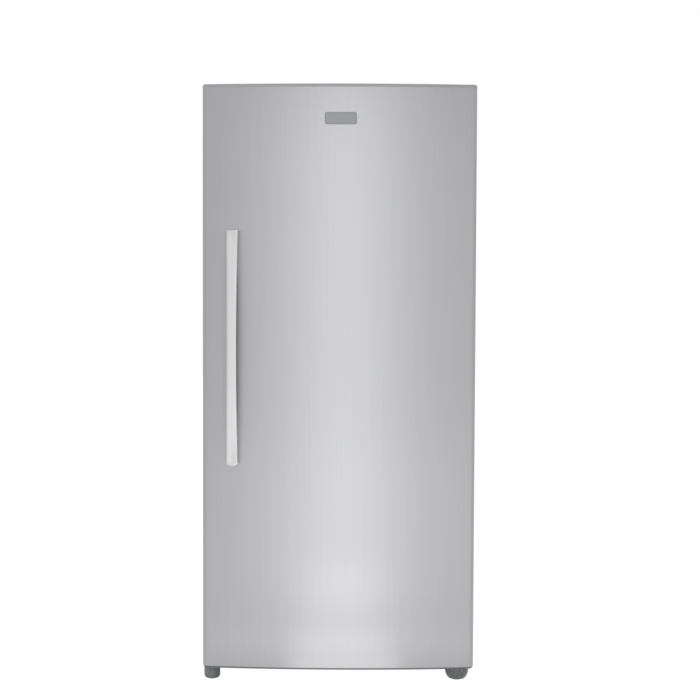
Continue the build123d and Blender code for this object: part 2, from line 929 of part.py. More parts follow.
condenser_high = condenser_low + (condenser_passes - 1) * condenser_pitch
riser_x = condenser_right + line_run
with BuildPart() as refrigerant_lines:
    # hot line over the fan to the condenser
    add(tube(
        [
            (stub_end, machine_mid + stub_offset, stub_z),
            (stub_end - line_run, machine_mid + stub_offset, stub_z),
            (stub_end - line_run, machine_mid + stub_offset, line_z),
            (riser_x, machine_mid + stub_offset, line_z),
            (riser_x, machine_mid, condenser_high),
            (condenser_right, machine_mid, condenser_high),
        ]
    ))
    # suction line up to the roof
    add(tube(
        [
            (stub_end, machine_mid - stub_offset, stub_z),
            (stub_end - line_run, machine_mid - stub_offset, stub_z),
            (stub_end - line_run, machine_mid - stub_offset, machine_roof),
        ]
    ))
    # liquid line with its filter, up to the roof
    add(tube(
        [
            (condenser_right, machine_mid, condenser_low),
            (riser_x, machine_mid, condenser_low),
            (riser_x, machine_mid - filter_offset, condenser_low),
            (riser_x, machine_mid - filter_offset, machine_roof),
        ]
    ))
    with Locations((riser_x, machine_mid - filter_offset, filter_z)):
        Cylinder(filter_radius, filter_length)
keep(refrigerant_lines, "refrigerant_lines")

# Evaporator and its cover

evaporator_rows = serpentine(
    -coil_width / 2, coil_width / 2, coil_low + coil_pitch / 2, coil_pitch, coil_passes
)
coil_y = liner_back - coil_stand - coil_depth / 2
with BuildPart() as evaporator_coil:
    # flat tube folded to and fro
    with BuildSketch(Plane.XZ.offset(-coil_y - coil_depth / 2)):
        with BuildLine() as coil_route:
            FilletPolyline(*evaporator_rows, radius=coil_pitch / 2 - touch)
            offset(amount=coil_tube, side=Side.LEFT)
        make_face()
    extrude(amount=coil_depth)
    # fins between the passes
    with BuildSketch(Plane.XZ.offset(-coil_y - coil_depth / 2)):
        for gap in range(coil_passes - 1):
            low = coil_low + coil_pitch / 2 + gap * coil_pitch
            with Locations((0, low + coil_tube)):
                with GridLocations(fin_pitch, 1, fin_count, 1):
                    Rectangle(fin_thick, coil_pitch - coil_tube, align=(Align.CENTER, Align.MIN))
    extrude(amount=coil_depth)
    # brackets to the liner's rear wall
    with BuildSketch(Plane.XZ.offset(-liner_back)):
        with Locations((-bracket_x, coil_low), (bracket_x, coil_low)):
            Rectangle(bracket_width, coil_pitch * coil_passes, align=(Align.CENTER, Align.MIN))
    extrude(amount=coil_stand)
keep(evaporator_coil, "evaporator_coil")

evaporator_axle = Plane(
    (0, liner_back - motor_length - fan_gap - fan_depth / 2, evaporator_fan_z),
    x_dir=(1, 0, 0), z_dir=(0, -1, 0),
)
evaporator_fan_blade = fan_wheel(evaporator_axle, fan_radius, fan_hub, fan_depth)
keep(evaporator_fan_blade, "evaporator_fan_blade")

with BuildPart() as evaporator_fan_motor:
    with BuildSketch(Plane.XZ.offset(-liner_back)):
        with Locations((0, evaporator_fan_z)):
            Circle(motor_radius)
    extrude(amount=motor_length)
    with BuildSketch(evaporator_axle.offset(-fan_depth / 2 - fan_gap)):
        Circle(shaft_radius)
    extrude(amount=fan_depth + fan_gap)
    # mounting bar with its two ends on the liner
    with BuildSketch(Plane.XZ.offset(-liner_back)):
        with Locations((0, evaporator_fan_z)):
            SlotOverall(2 * fan_radius, fan_bar)
    extrude(amount=wall)
keep(evaporator_fan_motor, "evaporator_fan_motor")


def duct_block(inset):
    """The bulge of the duct cover, drawn in by inset on all its free sides."""
    with BuildPart() as block:
        with BuildSketch(Plane.XZ.offset(-liner_back)):
            with Locations((0, (duct_low + duct_high) / 2)):
                Rectangle(duct_width - 2 * inset, duct_high - duct_low - 2 * inset)
        extrude(amount=duct_depth - inset, taper=duct_taper)
        chamfer(block.edges().group_by(Axis.Y)[0], length=duct_chamfer)
    return block.part


duct_outside = duct_block(0)
duct_inside = duct_block(wall)
with BuildPart() as air_duct_cover:
    add(duct_outside)
    add(duct_inside, mode=Mode.SUBTRACT)
    # air slots, out above and back in below
    for row_z in (duct_high - vent_margin, duct_low + vent_margin):
        with BuildSketch(Plane.XZ.offset(-duct_front - 2 * wall)):
            with Locations((0, row_z)):
                with GridLocations(vent_pitch, 1, vent_count, 1):
                    Rectangle(vent_length, vent_width)
        extrude(amount=3 * wall, mode=Mode.SUBTRACT)
keep(air_duct_cover, "air_duct_cover")

# Controls under the ceiling

control_y = cab_front + control_setback
knob_z = ceiling - control_height / 2
with BuildPart() as control_housing:
    with BuildSketch(Plane.XY.offset(ceiling - control_height)):
        with Locations((0, control_y)):
            Rectangle(control_width, control_depth, align=(Align.CENTER, Align.MIN))
    extrude(amount=control_height)
    fillet(control_housing.edges().group_by(Axis.Z)[0], radius=control_round)
    offset(amount=-wall, openings=control_housing.faces().sort_by(Axis.Z)[-1])
    # bush for the knob's shaft, and the window over the lamp
    with BuildSketch(Plane.XZ.offset(-control_y - wall)):
        with Locations((knob_x, knob_z)):
            Circle(knob_bush)
    extrude(amount=-knob_shaft_length + 2 * wall)
    with Locations(Location((knob_x, control_y, knob_z), (90, 0, 0))):
        Hole(shaft_radius + running, depth=2 * knob_shaft_length)
    with BuildSketch(Plane.XY.offset(ceiling - control_height)):
        with Locations((lens_x, control_y + control_depth / 2)):
            RectangleRounded(lens_length - 2 * lens_lip, lens_width - 2 * lens_lip, window_round)
    extrude(amount=wall, mode=Mode.SUBTRACT)
keep(control_housing, "control_housing")

with BuildPart() as temperature_knob:
    with BuildSketch(Plane.XZ.offset(touch - control_y)):
        with Locations((knob_x, knob_z)):
            Circle(knob_radius)
    extrude(amount=knob_base)
    # grip across the dial, with a pointed end
    with BuildSketch(Plane.XZ.offset(touch + knob_base - control_y)):
        with BuildLine():
            Polyline(
                (knob_x, knob_z + knob_grip),
                (knob_x + knob_grip_half, knob_z + knob_grip - knob_grip_half),
                (knob_x + knob_grip_half, knob_z - knob_grip),
                (knob_x - knob_grip_half, knob_z - knob_grip),
                (knob_x - knob_grip_half, knob_z + knob_grip - knob_grip_half),
                close=True,
            )
        make_face()
    extrude(amount=knob_depth - knob_base, taper=knob_taper)
    with BuildSketch(Plane.XZ.offset(touch - control_y)):
        with Locations((knob_x, knob_z)):
            Circle(shaft_radius)
    extrude(amount=-knob_shaft_length)
keep(temperature_knob, "temperature_knob")

with BuildPart() as light_lens:
    with BuildSketch(Plane.XY.offset(ceiling - control_height)):
        with Locations((lens_x, control_y + control_depth / 2)):
            RectangleRounded(lens_length, lens_width, lens_round)
    extrude(amount=-lens_drop)
    chamfer(light_lens.edges().group_by(Axis.Z)[0], length=lens_drop - lens_edge)
keep(light_lens, "light_lens")

with BuildPart() as door_switch:
    with BuildSketch(Plane.XZ.offset(-cab_front - switch_setback)):
        with Locations((plunger_x, ceiling)):
            Rectangle(switch_width, switch_height, align=(Align.CENTER, Align.MAX))
    extrude(amount=-switch_depth)
    fillet(door_switch.edges().filter_by(Axis.Y).group_by(Axis.Z)[0], radius=switch_round)
    with BuildSketch(Plane.XZ.offset(-cab_front - switch_setback)):
        with Locations((plunger_x, plunger_z)):
            Circle(plunger_radius + running)
    extrude(amount=-switch_depth + 2 * wall, mode=Mode.SUBTRACT)
keep(door_switch, "door_switch")

with BuildPart() as switch_plunger:
    with BuildSketch(Plane.XZ.offset(-door_rear - touch)):
        with Locations((plunger_x, plunger_z)):
            Circle(plunger_radius)
    extrude(amount=-plunger_length)
    chamfer(switch_plunger.edges().filter_by(GeomType.CIRCLE).group_by(Axis.Y)[0], length=plunger_tip)
keep(switch_plunger, "switch_plunger")

# Shelves

for number, shelf_z in enumerate(shelf_heights, 1):
    with BuildPart() as shelf_glass:
        with BuildSketch(Plane.XY.offset(shelf_z)):
            with Locations((0, shelf_y + trim_depth / 2)):
                Rectangle(
                    2 * (liner_in - glass_air), shelf_depth - trim_depth,
                    align=(Align.CENTER, Align.MIN),
                )
        extrude(amount=glass)
    keep(shelf_glass, f"shelf_glass_{number}")

trim_half = liner_in - ledge_width - crisper_air
with BuildPart() as shelf_trims:
    for shelf_z in shelf_heights:
        with BuildSketch(Plane.YZ.offset(-trim_half)) as bar:
            for bar_y in (shelf_y, shelf_y + shelf_depth - trim_depth):
                with Locations((bar_y, shelf_z + glass / 2)):
                    Rectangle(trim_depth, trim_height, align=(Align.MIN, Align.CENTER))
            chamfer(bar.vertices(), length=trim_chamfer)
            with Locations((shelf_y + trim_depth / 2, shelf_z)):
                Rectangle(
                    shelf_depth - trim_depth, glass,
                    align=(Align.MIN, Align.MIN), mode=Mode.SUBTRACT,
                )
        extrude(amount=2 * trim_half)
keep(shelf_trims, "shelf_trims")

# Crisper cover and drawers

cover_half = liner_in - glass_air
with BuildPart() as crisper_cover_frame:
    with BuildSketch(Plane.XY.offset(cover_z)):
        with Locations((0, shelf_y)):
            Rectangle(2 * cover_half, shelf_depth, align=(Align.CENTER, Align.MIN))
        with Locations((0, shelf_y + cover_bar)):
            Rectangle(
                2 * (cover_half - cover_bar), shelf_depth - 2 * cover_bar,
                align=(Align.CENTER, Align.MIN), mode=Mode.SUBTRACT,
            )
    extrude(amount=cover_frame)
    front_edges = crisper_cover_frame.edges().filter_by(Axis.X).group_by(Axis.Y)[0]
    chamfer(front_edges, length=trim_chamfer)
    # seat of the glass
    with BuildSketch(Plane.XY.offset(cover_z + cover_frame)):
        with Locations((0, shelf_y + cover_bar - glass_seat)):
            Rectangle(
                2 * (cover_half - cover_bar + glass_seat),
                shelf_depth - 2 * (cover_bar - glass_seat),
                align=(Align.CENTER, Align.MIN),
            )
    extrude(amount=-glass, mode=Mode.SUBTRACT)
    # partition between the drawers, with both inner runners
    with BuildSketch(Plane.XZ.offset(-crisper_y)):
        with Locations((0, liner_floor)):
            Rectangle(2 * divider_web, cover_z - liner_floor, align=(Align.CENTER, Align.MIN))
        with Locations((0, runner_z)):
            Rectangle(2 * divider_ledge, ledge_height, align=(Align.CENTER, Align.MAX))
    extrude(amount=-crisper_depth)
keep(crisper_cover_frame, "crisper_cover_frame")

with BuildPart() as crisper_cover_glass:
    with BuildSketch(Plane.XY.offset(cover_z + cover_frame - glass)):
        with Locations((0, shelf_y + cover_bar - glass_seat + glass_air)):
            Rectangle(
                2 * (cover_half - cover_bar + glass_seat - glass_air),
                shelf_depth - 2 * (cover_bar - glass_seat + glass_air),
                align=(Align.CENTER, Align.MIN),
            )
    extrude(amount=glass)
keep(crisper_cover_glass, "crisper_cover_glass")


def crisper_block(inset):
    """The form of the right drawer's tub, a little wider at its rim, drawn in by inset."""
    with BuildPart() as block:
        with BuildSketch(Plane.XY.offset(crisper_top)):
            with Locations(((crisper_in + crisper_out) / 2, crisper_y + crisper_depth / 2)):
                tub = Rectangle(
                    crisper_out - crisper_in - 2 * inset, crisper_depth - 2 * inset
                )
            chamfer(tub.vertices(), length=crisper_corner - inset / 2)
        extrude(amount=inset - crisper_height, taper=crisper_taper)
        chamfer(block.edges().group_by(Axis.Z)[0], length=crisper_chamfer - inset / 2)
    return block.part


crisper_outside = crisper_block(0)
crisper_inside = crisper_block(wall)
with BuildPart() as crisper_right:
    add(crisper_outside)
    add(crisper_inside, mode=Mode.SUBTRACT)
    # side rims that ride on the runners
    for rim_x, rim_align in ((crisper_out - wall, Align.MIN), (crisper_in + wall, Align.MAX)):
        with BuildSketch(Plane.XY.offset(crisper_top - rim_thick)):
            with Locations((rim_x, crisper_y + crisper_corner)):
                Rectangle(
                    crisper_rim + wall, crisper_depth - 2 * crisper_corner,
                    align=(rim_align, Align.MIN),
                )
        extrude(amount=rim_thick)
    # grip lip along the front
    with BuildSketch(Plane.YZ.offset(crisper_in + crisper_corner)):
        with BuildLine():
            Polyline(
                (crisper_y + wall, crisper_top),
                (crisper_y - crisper_grip, crisper_top),
                (crisper_y - crisper_grip, crisper_top - crisper_grip),
                (crisper_y - crisper_grip + wall, crisper_top - crisper_grip),
                (crisper_y - crisper_grip + wall, crisper_top - rim_thick),
                (crisper_y + wall, crisper_top - rim_thick),
                close=True,
            )
        make_face()
    extrude(amount=crisper_out - crisper_in - 2 * crisper_corner)
keep(crisper_right, "crisper_right")

with BuildPart() as crisper_left:
    mirror(crisper_right.part, about=Plane.YZ)
keep(crisper_left, "crisper_left")

# Door


def door_plan(inset):
    """Plan of the door before its liner, drawn in by inset."""
    with BuildSketch() as plan:
        with BuildLine():
            ThreePointArc((-half, door_front), (0, door_front - door_bow), (half, door_front))
            Polyline((half, door_front), (half, skin_rear), (-half, skin_rear), (-half, door_front))
        make_face()
        fillet(plan.vertices().group_by(Axis.Y)[0], radius=door_corner)
        if inset:
            offset(amount=-inset)
    return plan.sketch


def corner_cut(z, inward, radius):
    """What rounding takes off both ends of the door's edge at z; inward is 1 for upward."""
    with BuildPart() as pieces:
        with BuildSketch(Plane.XZ.offset(-door_rear)):
            for side in (-1, 1):
                with Locations((side * (half - radius / 2), z + inward * radius / 2)):
                    Rectangle(radius, radius)
            for side in (-1, 1):
                with Locations((side * (half - radius), z + inward * radius)):
                    Circle(radius, mode=Mode.SUBTRACT)
        extrude(amount=total_depth)
    return pieces.part


outline = door_plan(0)
outline_inside = door_plan(sheet)
low_corners = corner_cut(door_clearance, 1, low_corner)
high_corners = corner_cut(door_top, -1, high_corner)
stud_heights = (handle_low + handle_foot / 2, handle_high - handle_foot / 2)

with BuildPart() as handle_studs:
    for stud_z in stud_heights:
        with BuildSketch(Plane.XZ.offset(stud_out - handle_surface)):
            with Locations((handle_x, stud_z)):
                Circle(stud_radius)
        extrude(amount=-stud_out - stud_in)
        # nut behind the skin
        with BuildSketch(Plane.XZ.offset(-handle_surface - stud_in + nut_thick)):
            with Locations((handle_x, stud_z)):
                RegularPolygon(nut_radius, 6)
        extrude(amount=-nut_thick)
keep(handle_studs, "handle_studs")

with BuildPart() as door_outer_skin:
    with BuildSketch(Plane.XY.offset(skin_low)):
        add(outline)
        add(outline_inside, mode=Mode.SUBTRACT)
        with Locations((0, skin_rear)):
            Rectangle(width - 2 * skin_lip, 4 * sheet, mode=Mode.SUBTRACT)
    extrude(amount=skin_high - skin_low)
    add(low_corners, mode=Mode.SUBTRACT)
    add(handle_studs.part, mode=Mode.SUBTRACT)
keep(door_outer_skin, "door_outer_skin")


def bushing_pocket(z, length):
    """A plain cylinder on the hinge axis, from z upward."""
    with BuildPart() as pocket:
        with BuildSketch(Plane.XY.offset(z)):
            with Locations((pin_x, pin_y)):
                Circle(bushing_radius)
        extrude(amount=length)
    return pocket.part


low_pocket = bushing_pocket(door_clearance, bushing_length)
high_pocket = bushing_pocket(door_top - bushing_length, bushing_length)

with BuildPart() as door_top_cap:
    with BuildSketch(Plane.XY.offset(skin_high)):
        add(outline)
    extrude(amount=top_cap_height)
    with BuildSketch(Plane.XY.offset(skin_high)):
        add(outline_inside)
    extrude(amount=-cap_plug)
    add(high_corners, mode=Mode.SUBTRACT)
    add(high_pocket, mode=Mode.SUBTRACT)
keep(door_top_cap, "door_top_cap")

with BuildPart() as door_bottom_cap:
    with BuildSketch(Plane.XY.offset(door_clearance)):
        add(outline)
    extrude(amount=bottom_cap_height)
    with BuildSketch(Plane.XY.offset(skin_low)):
        add(outline_inside)
    extrude(amount=cap_plug)
    add(low_corners, mode=Mode.SUBTRACT)
    add(low_pocket, mode=Mode.SUBTRACT)
keep(door_bottom_cap, "door_bottom_cap")

with BuildPart() as hinge_bushings:
    add(low_pocket)
    add(high_pocket)
    # collar that carries the door on the lower bracket
    with BuildSketch(Plane.XY.offset(door_clearance)):
        with Locations((pin_x, pin_y)):
            Circle(bushing_radius + bushing_wall)
    extrude(amount=-collar)
    with BuildSketch(Plane.XY.offset(door_clearance - collar)):
        with Locations((pin_x, pin_y)):
            Circle(pin_bore)
    extrude(amount=door_height + 2 * collar, mode=Mode.SUBTRACT)
keep(hinge_bushings, "hinge_bushings")


def ridge(inset):
    """The raised frame round the rear of the door, drawn in by inset."""
    with BuildPart() as frame:
        with BuildSketch(Plane.XZ.offset(-skin_rear)):
            with Locations((0, (ridge_low + ridge_high) / 2)):
                RectangleRounded(
                    2 * (ridge_out - inset), ridge_high - ridge_low - 2 * inset, ridge_corner - inset
                )
        extrude(amount=-ridge_rise - plastic + inset, taper=ridge_taper)
        with BuildSketch(Plane.XZ.offset(-skin_rear)):
            with Locations((0, (ridge_low + ridge_high) / 2)):
                ridge_wide = ridge_out - ridge_in - inset
                Rectangle(2 * (ridge_in + inset), ridge_high - ridge_low - 2 * ridge_wide - 2 * inset)
        extrude(amount=-ridge_rise - plastic, mode=Mode.SUBTRACT)
        tip = frame.edges().group_by(Axis.Y)[-1]
        if inset:
            chamfer(tip, length=ridge_round - 2 * inset)
        else:
            fillet(tip, radius=ridge_round)
    return frame.part


ridge_shell = ridge(0)
ridge_core = ridge(plastic)

with BuildPart() as door_liner:
    with BuildSketch(Plane.XZ.offset(-skin_rear)):
        with Locations((0, (door_clearance + door_top) / 2)):
            RectangleRounded(
                width - 2 * liner_margin, door_height - 2 * liner_margin, liner_corner
            )
    extrude(amount=-plastic)
    add(ridge_shell)
    add(ridge_core, mode=Mode.SUBTRACT)
    # lugs under the ends of each bin
    for lug_z in (*bin_floors, dairy_floor):
        with BuildSketch(Plane.XY.offset(lug_z - lug_height)):
            for side in (-1, 1):
                with Locations((side * ridge_in, door_rear + lug_setback)):
                    Rectangle(2 * lug_reach, lug_length, align=(Align.CENTER, Align.MIN))
            with Locations((0, door_rear + lug_setback)):
                Rectangle(
                    2 * (ridge_in + sheet), lug_length,
                    align=(Align.CENTER, Align.MIN), mode=Mode.INTERSECT,
                )
        extrude(amount=lug_height)
keep(door_liner, "door_liner")

with BuildPart() as door_foam:
    with BuildSketch(Plane.XY.offset(skin_low + cap_plug)):
        add(outline_inside)
        with Locations((0, skin_rear)):
            Rectangle(width - 2 * skin_lip, 2 * sheet, align=(Align.CENTER, Align.MAX))
    extrude(amount=skin_high - skin_low - 2 * cap_plug)
    add(ridge_core)
    for filled in (handle_studs.part, low_pocket, high_pocket):
        add(filled, mode=Mode.SUBTRACT)
keep(door_foam, "door_foam")

with BuildPart() as door_gasket:
    with BuildSketch(Plane.XZ.offset(-door_rear)):
        gasket_half = pin_x + gasket_over
        with Locations((0, (gasket_low + gasket_high) / 2)):
            RectangleRounded(2 * gasket_half, gasket_high - gasket_low, gasket_width / 2)
            Rectangle(
                2 * (gasket_half - gasket_width), gasket_high - gasket_low - 2 * gasket_width,
                mode=Mode.SUBTRACT,
            )
    extrude(amount=touch - seal_gap)
keep(door_gasket, "door_gasket")

with BuildPart() as door_body:
    with BuildSketch(Plane.XY.offset(door_clearance)):
        add(outline)
    extrude(amount=door_height)

with BuildPart() as door_handle:
    middle = (handle_low + handle_high) / 2
    end_y = door_front - handle_end - bow_at(handle_x)
    mid_y = handle_surface - handle_rise
    with BuildSketch(Plane.YZ.offset(handle_x - handle_width / 2)):
        with BuildLine():
            Polyline(
                (end_y, handle_low), (door_front, handle_low), (door_front, handle_low + handle_foot)
            )
            ThreePointArc(
                (door_front, handle_low + handle_foot),
                (mid_y + handle_bar, middle),
                (door_front, handle_high - handle_foot),
            )
            Polyline(
                (door_front, handle_high - handle_foot), (door_front, handle_high), (end_y, handle_high)
            )
            ThreePointArc((end_y, handle_high), (mid_y, middle), (end_y, handle_low))
        make_face()
    extrude(amount=handle_width)
    # front view: a waist and a rounded lower end
    with BuildSketch(Plane.XZ.offset(-door_front)):
        side_x = handle_width / 2
        waist = handle_waist / 2
        with BuildLine():
            Line((handle_x - side_x, handle_high), (handle_x + side_x, handle_high))
            ThreePointArc(
                (handle_x + side_x, handle_high), (handle_x + waist, middle),
                (handle_x + side_x, handle_low + handle_tip),
            )
            ThreePointArc(
                (handle_x + side_x, handle_low + handle_tip), (handle_x, handle_low),
                (handle_x - side_x, handle_low + handle_tip),
            )
            ThreePointArc(
                (handle_x - side_x, handle_low + handle_tip), (handle_x - waist, middle),
                (handle_x - side_x, handle_high),
            )
        make_face()
    extrude(amount=total_depth, mode=Mode.INTERSECT)
    add(door_body.part, mode=Mode.SUBTRACT)
    add(handle_studs.part, mode=Mode.SUBTRACT)
keep(door_handle, "door_handle")

with BuildPart() as badge_plate:
    with BuildSketch(Plane.XZ.offset(door_bow + badge_thick - door_front)):
        with Locations((badge_x, badge_z)):
            RectangleRounded(*badge_size, badge_round)
    extrude(amount=-door_bow)
    add(door_body.part, mode=Mode.SUBTRACT)
keep(badge_plate, "badge_plate")


def bin_block(floor_z, height, inset):
    """The form of a door bin, drawn in by inset."""
    with BuildPart() as block:
        with BuildSketch(Plane.XY.offset(floor_z + inset)) as plan:
            with Locations((0, door_rear + inset)):
                Rectangle(
                    2 * (ridge_in - bin_air - inset), bin_depth - 2 * inset,
                    align=(Align.CENTER, Align.MIN),
                )
            fillet(plan.vertices().group_by(Axis.Y)[-1], radius=bin_corner - inset)
        extrude(amount=height)
    return block.part


for number, (bin_floor, bin_height) in enumerate(zip(bin_floors, bin_heights), 1):
    bin_outside = bin_block(bin_floor, bin_height, 0)
    bin_inside = bin_block(bin_floor, bin_height, wall)
    with BuildPart() as door_bin:
        add(bin_outside)
        add(bin_inside, mode=Mode.SUBTRACT)
        # thicker rim along the top
        with BuildSketch(Plane.XY.offset(bin_floor + bin_height)):
            add(bin_outside.faces().sort_by(Axis.Z)[-1])
            offset(amount=-bin_rim, mode=Mode.SUBTRACT)
        extrude(amount=-bin_rim_height)
    keep(door_bin, f"door_bin_{number}")

dairy_half = ridge_in - bin_air
lid_y = door_rear + dairy_depth + lid_setback
lid_z = dairy_floor + dairy_height - lid_drop
with BuildPart() as dairy_compartment:
    with BuildSketch(Plane.YZ.offset(-dairy_half)):
        with Locations((door_rear, dairy_floor)):
            Rectangle(dairy_depth, dairy_height, align=(Align.MIN, Align.MIN))
    extrude(amount=2 * dairy_half)
    with BuildSketch(Plane.YZ.offset(wall - dairy_half)):
        with Locations((door_rear + wall, dairy_floor + wall)):
            Rectangle(dairy_depth, dairy_height - 2 * wall, align=(Align.MIN, Align.MIN))
    extrude(amount=2 * (dairy_half - wall), mode=Mode.SUBTRACT)
    # ears at both ends that hold the lid's pins
    for ear_x in (-dairy_half, dairy_half - wall):
        with BuildSketch(Plane.YZ.offset(ear_x)):
            with Locations((lid_y, lid_z)):
                Circle(lid_ear)
                Rectangle(2 * lid_setback, 2 * lid_ear, align=(Align.MAX, Align.CENTER))
                Circle(lid_pin_radius + running, mode=Mode.SUBTRACT)
        extrude(amount=wall)
keep(dairy_compartment, "dairy_compartment")

lid_half = dairy_half - wall - lid_air
with BuildPart() as dairy_lid:
    with BuildSketch(Plane.YZ.offset(-lid_half)):
        with Locations((door_rear + dairy_depth + lid_air, dairy_floor)):
            Rectangle(wall, lid_z - dairy_floor, align=(Align.MIN, Align.MIN))
        with Locations((lid_y, lid_z)):
            Circle(lid_barrel)
        # grip along the lower edge
        with Locations((door_rear + dairy_depth + lid_air, dairy_floor)):
            Rectangle(lid_grip, wall, align=(Align.MIN, Align.MIN))
    extrude(amount=2 * lid_half)
    with BuildSketch(Plane.YZ.offset(touch - dairy_half)):
        with Locations((lid_y, lid_z)):
            Circle(lid_pin_radius)
    extrude(amount=2 * (dairy_half - touch))
keep(dairy_lid, "dairy_lid")

# Hinges

arm_z = door_top + arm_gap
with BuildPart() as upper_hinge_bracket:
    with BuildSketch(Plane.YZ.offset(pin_x - hinge_width / 2)):
        with BuildLine():
            Polyline(
                (cab_front + hinge_base, cab_top),
                (cab_front + hinge_rise + case_drop, cab_top),
                (cab_front + hinge_rise, arm_z),
                (pin_y, arm_z),
            )
            offset(amount=hinge_plate, side=Side.RIGHT)
        make_face()
    extrude(amount=hinge_width)
    with Locations((pin_x, pin_y, arm_z)):
        Cylinder(hinge_width / 2, hinge_plate, align=(Align.CENTER, Align.CENTER, Align.MIN))
    with Locations((pin_x, pin_y, arm_z)):
        Cylinder(pin_radius, pin_length, align=(Align.CENTER, Align.CENTER, Align.MAX))
keep(upper_hinge_bracket, "upper_hinge_bracket")


def cover_block(inset):
    """The outside or the inside of the upper hinge's cover."""
    with BuildPart() as block:
        with BuildSketch(Plane.XY.offset(cab_top)):
            with Locations((half - hinge_cover_margin - inset, cab_front + hinge_cover_margin + inset)):
                Rectangle(
                    hinge_cover_width - 2 * inset, hinge_cover_length - 2 * inset,
                    align=(Align.MAX, Align.MIN),
                )
        extrude(amount=hinge_cover_height - inset)
        edges_outside = block.edges().filter_by(Axis.Z) + block.edges().group_by(Axis.Z)[-1]
        chamfer(edges_outside, length=hinge_cover_chamfer)
    return block.part


cover_outside = cover_block(0)
cover_inside = cover_block(plastic)
with BuildPart() as hinge_cover:
    add(cover_outside)
    add(cover_inside, mode=Mode.SUBTRACT)
    # opening round the arm
    with BuildSketch(Plane.XZ.offset(-cab_front)):
        with Locations((pin_x, cab_top)):
            Rectangle(
                hinge_width + 2 * touch, arm_z + hinge_plate + touch - cab_top,
                align=(Align.CENTER, Align.MIN),
            )
    extrude(amount=-hinge_rise, mode=Mode.SUBTRACT)
keep(hinge_cover, "hinge_cover")

low_arm = door_clearance - collar
with BuildPart() as lower_hinge_bracket:
    # plate on the front of the case
    with BuildSketch(Plane.XZ.offset(-cab_front)):
        with Locations((pin_x + hinge_width / 2, case_bottom + sheet)):
            Rectangle(low_plate_width, low_plate_height, align=(Align.MAX, Align.MIN))
    extrude(amount=hinge_plate)
    # arm under the door
    with BuildSketch(Plane.XY.offset(low_arm)):
        with Locations((pin_x, pin_y)):
            Circle(hinge_width / 2)
            Rectangle(hinge_width, cab_front - pin_y, align=(Align.CENTER, Align.MIN))
    extrude(amount=-hinge_plate)
    with BuildSketch(Plane.XY.offset(low_arm - hinge_plate)):
        with Locations((pin_x, pin_y)):
            Circle(pin_radius)
    extrude(amount=hinge_plate + collar + pin_length)
keep(lower_hinge_bracket, "lower_hinge_bracket")
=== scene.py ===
import bmesh
import bpy
from math import asin, cos, pi, radians, sin, sqrt, tan
from mathutils import Matrix, Vector


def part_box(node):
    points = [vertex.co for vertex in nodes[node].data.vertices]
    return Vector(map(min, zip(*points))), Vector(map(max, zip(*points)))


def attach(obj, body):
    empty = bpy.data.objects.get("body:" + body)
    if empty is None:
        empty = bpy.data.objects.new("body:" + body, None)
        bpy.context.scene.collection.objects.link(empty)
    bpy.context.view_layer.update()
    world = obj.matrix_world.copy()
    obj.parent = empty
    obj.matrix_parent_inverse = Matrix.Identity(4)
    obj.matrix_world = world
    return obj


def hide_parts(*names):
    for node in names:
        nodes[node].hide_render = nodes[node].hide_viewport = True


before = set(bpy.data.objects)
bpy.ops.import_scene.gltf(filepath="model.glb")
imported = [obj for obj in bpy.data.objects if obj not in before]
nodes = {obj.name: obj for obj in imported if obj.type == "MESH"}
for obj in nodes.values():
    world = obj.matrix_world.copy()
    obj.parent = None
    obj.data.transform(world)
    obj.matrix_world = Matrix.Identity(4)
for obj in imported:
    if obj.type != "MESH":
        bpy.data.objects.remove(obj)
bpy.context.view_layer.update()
bpy.ops.object.select_all(action="DESELECT")


# Finishes


def linear(shade):
    """An sRGB hex colour as linear red, green, blue and alpha."""
    levels = [int(shade[i : i + 2], 16) / 255 for i in (1, 3, 5)]
    return tuple(v / 12.92 if v <= 0.04045 else ((v + 0.055) / 1.055) ** 2.4 for v in levels) + (1,)


def add_node(tree, kind, settings):
    """Adds a node; a setting is a property, the value of a socket, or an output to join to it."""
    node = tree.nodes.new("ShaderNode" + kind)
    for name, value in settings.items():
        if isinstance(value, bpy.types.NodeSocket):
            tree.links.new(value, node.inputs[name])
        elif isinstance(name, str) and hasattr(node, name):
            setattr(node, name, value)
        else:
            node.inputs[name].default_value = value
    return node


def surface(name, shades, grain, relief, gloss, look, stretch=(1, 1, 1), texture="TexNoise"):
    """A material whose colour and roughness follow a grain, both sizes in millimetres.

    shades is the darker and the lighter colour, gloss the lowest and highest roughness,
    and look the settings of the shader that are the same all over.
    """
    material = bpy.data.materials.new(name)
    material.use_nodes = True
    tree = material.node_tree
    shader = tree.nodes["Principled BSDF"]
    place = add_node(tree, "TexCoord", {}).outputs["Object"]
    drawn = add_node(tree, "Mapping", {"Vector": place, "Scale": stretch}).outputs["Vector"]
    pattern = {"Vector": drawn, "Scale": 1000 / grain}
    if texture == "TexNoise":
        pattern["Detail"] = 3
        height = add_node(tree, texture, pattern).outputs["Fac"]
    else:
        height = add_node(tree, texture, pattern).outputs["Color"]
    colour = add_node(tree, "ValToRGB", {"Fac": height})
    for stop, position, shade in zip(colour.color_ramp.elements, (0.3, 0.7), shades):
        stop.position = position
        stop.color = linear(shade)
    rough = add_node(tree, "MapRange", {"Value": height, "To Min": gloss[0], "To Max": gloss[1]})
    bump = add_node(tree, "Bump", {"Height": height, "Distance": relief / 1000})
    tree.links.new(colour.outputs["Color"], shader.inputs["Base Color"])
    tree.links.new(rough.outputs["Result"], shader.inputs["Roughness"])
    tree.links.new(bump.outputs["Normal"], shader.inputs["Normal"])
    for socket, value in look.items():
        shader.inputs[socket].default_value = value
    return material


